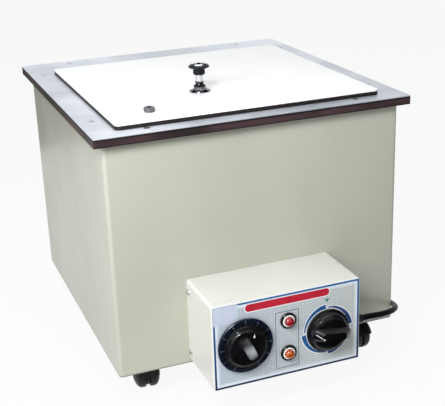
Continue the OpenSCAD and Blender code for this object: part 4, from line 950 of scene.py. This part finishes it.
def dial_scale():
    """Plain numbers and ticks round the dial's skirt."""
    hub = middle("thermostat_shaft") / MM
    points, faces = [], []

    def add(flat, shapes, angle, r):
        """Adds shapes drawn upright at the origin, turned to face out at an angle and radius."""
        turn = math.radians(angle - 90)
        base = len(points)
        for x, z in flat:
            z += r
            points.append((hub.x + x * math.cos(turn) - z * math.sin(turn),
                           hub.z + x * math.sin(turn) + z * math.cos(turn)))
        faces.extend([[base + i for i in shape] for shape in shapes])

    for k, number in enumerate(SCALE_NUMBERS):
        angle = 90 - (SCALE_FROM + SCALE_STEP * k)
        add(*number_outline(str(number), NUMBER_H * FONT_SIZE), angle, SCALE_R)
    for k in range(2 * len(SCALE_NUMBERS) - 1):
        angle = 90 - (SCALE_FROM + SCALE_STEP / 2 * k)
        half, r0, r1 = TICK_HALF, TICK_R[0], TICK_R[1] - SHORT_TICK * (k % 2)
        add([(-half, r0), (half, r0), (half, r1), (-half, r1)], [[0, 1, 2, 3]], angle, 0)
    ink("dial_scale", points, faces, "thermostat_dial", "temperature_dial",
        INKS["scale_ink"], SCALE_T)


def knob_marks():
    """Painted highlights in white ink: a dot and a drop on the dial's hub, and a line with a dot
    along the heat knob's bar.
    """
    def mark(name, points, faces, knob, body, lift=MARK_T):
        ink(name, points, faces, knob, body, INKS["white_ink"], lift)

    hub = middle("thermostat_shaft") / MM
    # Painted highlights on the dial's hub: a white dot and a white drop.
    dot = disc(on_circle((hub.x, hub.z), DOT_R, DOT_ANGLE), DOT_D / 2)
    mark("dial_highlight_dot", dot, [list(range(DOT_STEPS))], "thermostat_dial", "temperature_dial")
    place, tip = [(hub.x + x, hub.z + z) for x, z in (DROP_PLACE, DROP_TIP)]
    drop = around(place, DROP_R, -190, 10, 16) + [tip]
    mark("dial_highlight_drop", drop, [list(range(len(drop)))], "thermostat_dial", "temperature_dial")

    # Painted highlight along the heat knob's bar: a white line ending in a white dot.
    hub = middle("heat_shaft") / MM
    start, end = [Vector((hub.x + x, hub.z + z)) for x, z in (HIGHLIGHT_LINE_START, HIGHLIGHT_LINE_END)]
    side = (end - start).orthogonal().normalized() * HIGHLIGHT_LINE_HALF
    line = [start.lerp(end, k / HIGHLIGHT_LINE_STEPS) for k in range(HIGHLIGHT_LINE_STEPS + 1)]
    edges = [tuple(p + side) for p in line] + [tuple(p - side) for p in line]
    mark("heat_highlight_line", edges, strip_faces(HIGHLIGHT_LINE_STEPS + 1), "heat_knob", "heat_control")
    dot = disc(end + Vector(HEAT_DOT_SHIFT), HEAT_DOT_R)
    mark("heat_highlight_dot", dot, [list(range(DOT_STEPS))], "heat_knob", "heat_control", HEAT_DOT_T)


panel_print()
dial_scale()
knob_marks()


# Castors

# Each castor's body, and the way it points in degrees; sizes in millimetres
CASTORS = {"fl": ("castor_front_left", 84), "fr": ("castor_front_right", -84),
           "bl": ("castor_back_left", 60), "br": ("castor_back_right", 118)}
WHEEL_R = 19
CASTOR_WEB_T = 4.6
CASTOR_WEB_CLEAR = 2.6
CASTOR_WEB_EDGE = 0.7
CASTOR_WEB_STEPS = 48


def castor_webs():
    """The hoods' middle webs, drawn down between the two wheels as far as the tread."""
    n = CASTOR_WEB_STEPS
    r, t = (WHEEL_R - CASTOR_WEB_CLEAR) * MM, CASTOR_WEB_T / 2 * MM
    edge = CASTOR_WEB_EDGE * MM
    rings = ((r - edge, -t), (r, -t + edge), (r, t - edge), (r - edge, t))
    faces = [[j * n + k, j * n + (k + 1) % n, (j + 1) * n + (k + 1) % n, (j + 1) * n + k]
             for j in range(len(rings) - 1) for k in range(n)]
    faces += [list(range(n)), list(reversed(range(3 * n, 4 * n)))]
    for corner, (body, heading) in CASTORS.items():
        hub, turn = middle("castor_axle_" + corner), math.radians(heading)
        across = Vector((math.cos(turn), math.sin(turn), 0))
        along = Vector((-math.sin(turn), math.cos(turn), 0))
        verts = []
        for ring_r, offset in rings:
            for k in range(n):
                a = 2 * math.pi * k / n
                verts.append(hub + along * offset
                             + ring_r * (across * math.cos(a) + Vector((0, 0, math.sin(a)))))
        add_piece("castor_web_" + corner, verts, faces, body,
                  FINISHES["black_nylon"])


castor_webs()


# Mains lead

def smooth_step(u):
    """Eased step from 0 to 1."""
    v = min(max(u, 0), 1)
    return v * v * (3 - 2 * v)


def coil_radius(t):
    """Radius after t turns: in at a steady rate, over, and out again."""
    half = COIL_TURNS / 2
    if t < half - COIL_CLIMB:
        return COIL_R - COIL_PITCH * t
    if t > half + COIL_CLIMB:
        return COIL_R - COIL_PITCH * (COIL_TURNS - t)
    u = t - (half - COIL_CLIMB)
    return COIL_R - COIL_PITCH * (t - u * u / (2 * COIL_CLIMB))


def coil_point(t):
    """Point of the coil after t turns, in millimetres."""
    half = COIL_TURNS / 2
    r, a = coil_radius(t), 2 * math.pi * t
    rise = COIL_PITCH * smooth_step((t - half + COIL_CLIMB) / (2 * COIL_CLIMB))
    return (COIL_MIDDLE[0] + r * math.cos(a), COIL_MIDDLE[1] + r * math.sin(a), COIL_Z + rise)


def through(points, steps):
    """Smooth line through points: a Catmull-Rom curve with some steps on each span."""
    line = []
    for i in range(len(points) - 1):
        a, b = points[max(i - 1, 0)], points[i]
        c, d = points[i + 1], points[min(i + 2, len(points) - 1)]
        for k in range(steps):
            t = k / steps
            line.append(0.5 * ((2 * b) + (c - a) * t + (2 * a - 5 * b + 4 * c - d) * t ** 2
                               + (3 * b - a - 3 * c + d) * t ** 3))
    return line + [points[-1]]


def make_lead():
    """The whole mains lead on one line, from the boot's tip to the plug's boot."""
    turns = range(1, int(COIL_STEPS * COIL_TURNS))
    coil = metres([coil_point(i / COIL_STEPS) for i in turns])
    line = (through(metres(LEAD_ROUTE) + [coil[0]], ROUTE_STEPS)[:-1] + coil
            + through(metres(TAIL_ROUTE), ROUTE_STEPS))
    data = bpy.data.curves.new("mains_lead", "CURVE")
    data.dimensions = "3D"
    data.bevel_depth = LEAD_D / 2 * MM
    data.bevel_resolution = LEAD_BEVEL_STEPS
    data.use_fill_caps = True
    spline = data.splines.new("POLY")
    spline.points.add(len(line) - 1)
    for point, place in zip(spline.points, line):
        point.co = (*place, 1)
    spline.use_smooth = True
    data.materials.append(FINISHES["lead_sheath"])
    lead = bpy.data.objects.new("mains_lead", data)
    SCENE.collection.objects.link(lead)
    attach(lead, "bath")
    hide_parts("mains_cord", "cord_coil", "cord_tail")


make_lead()
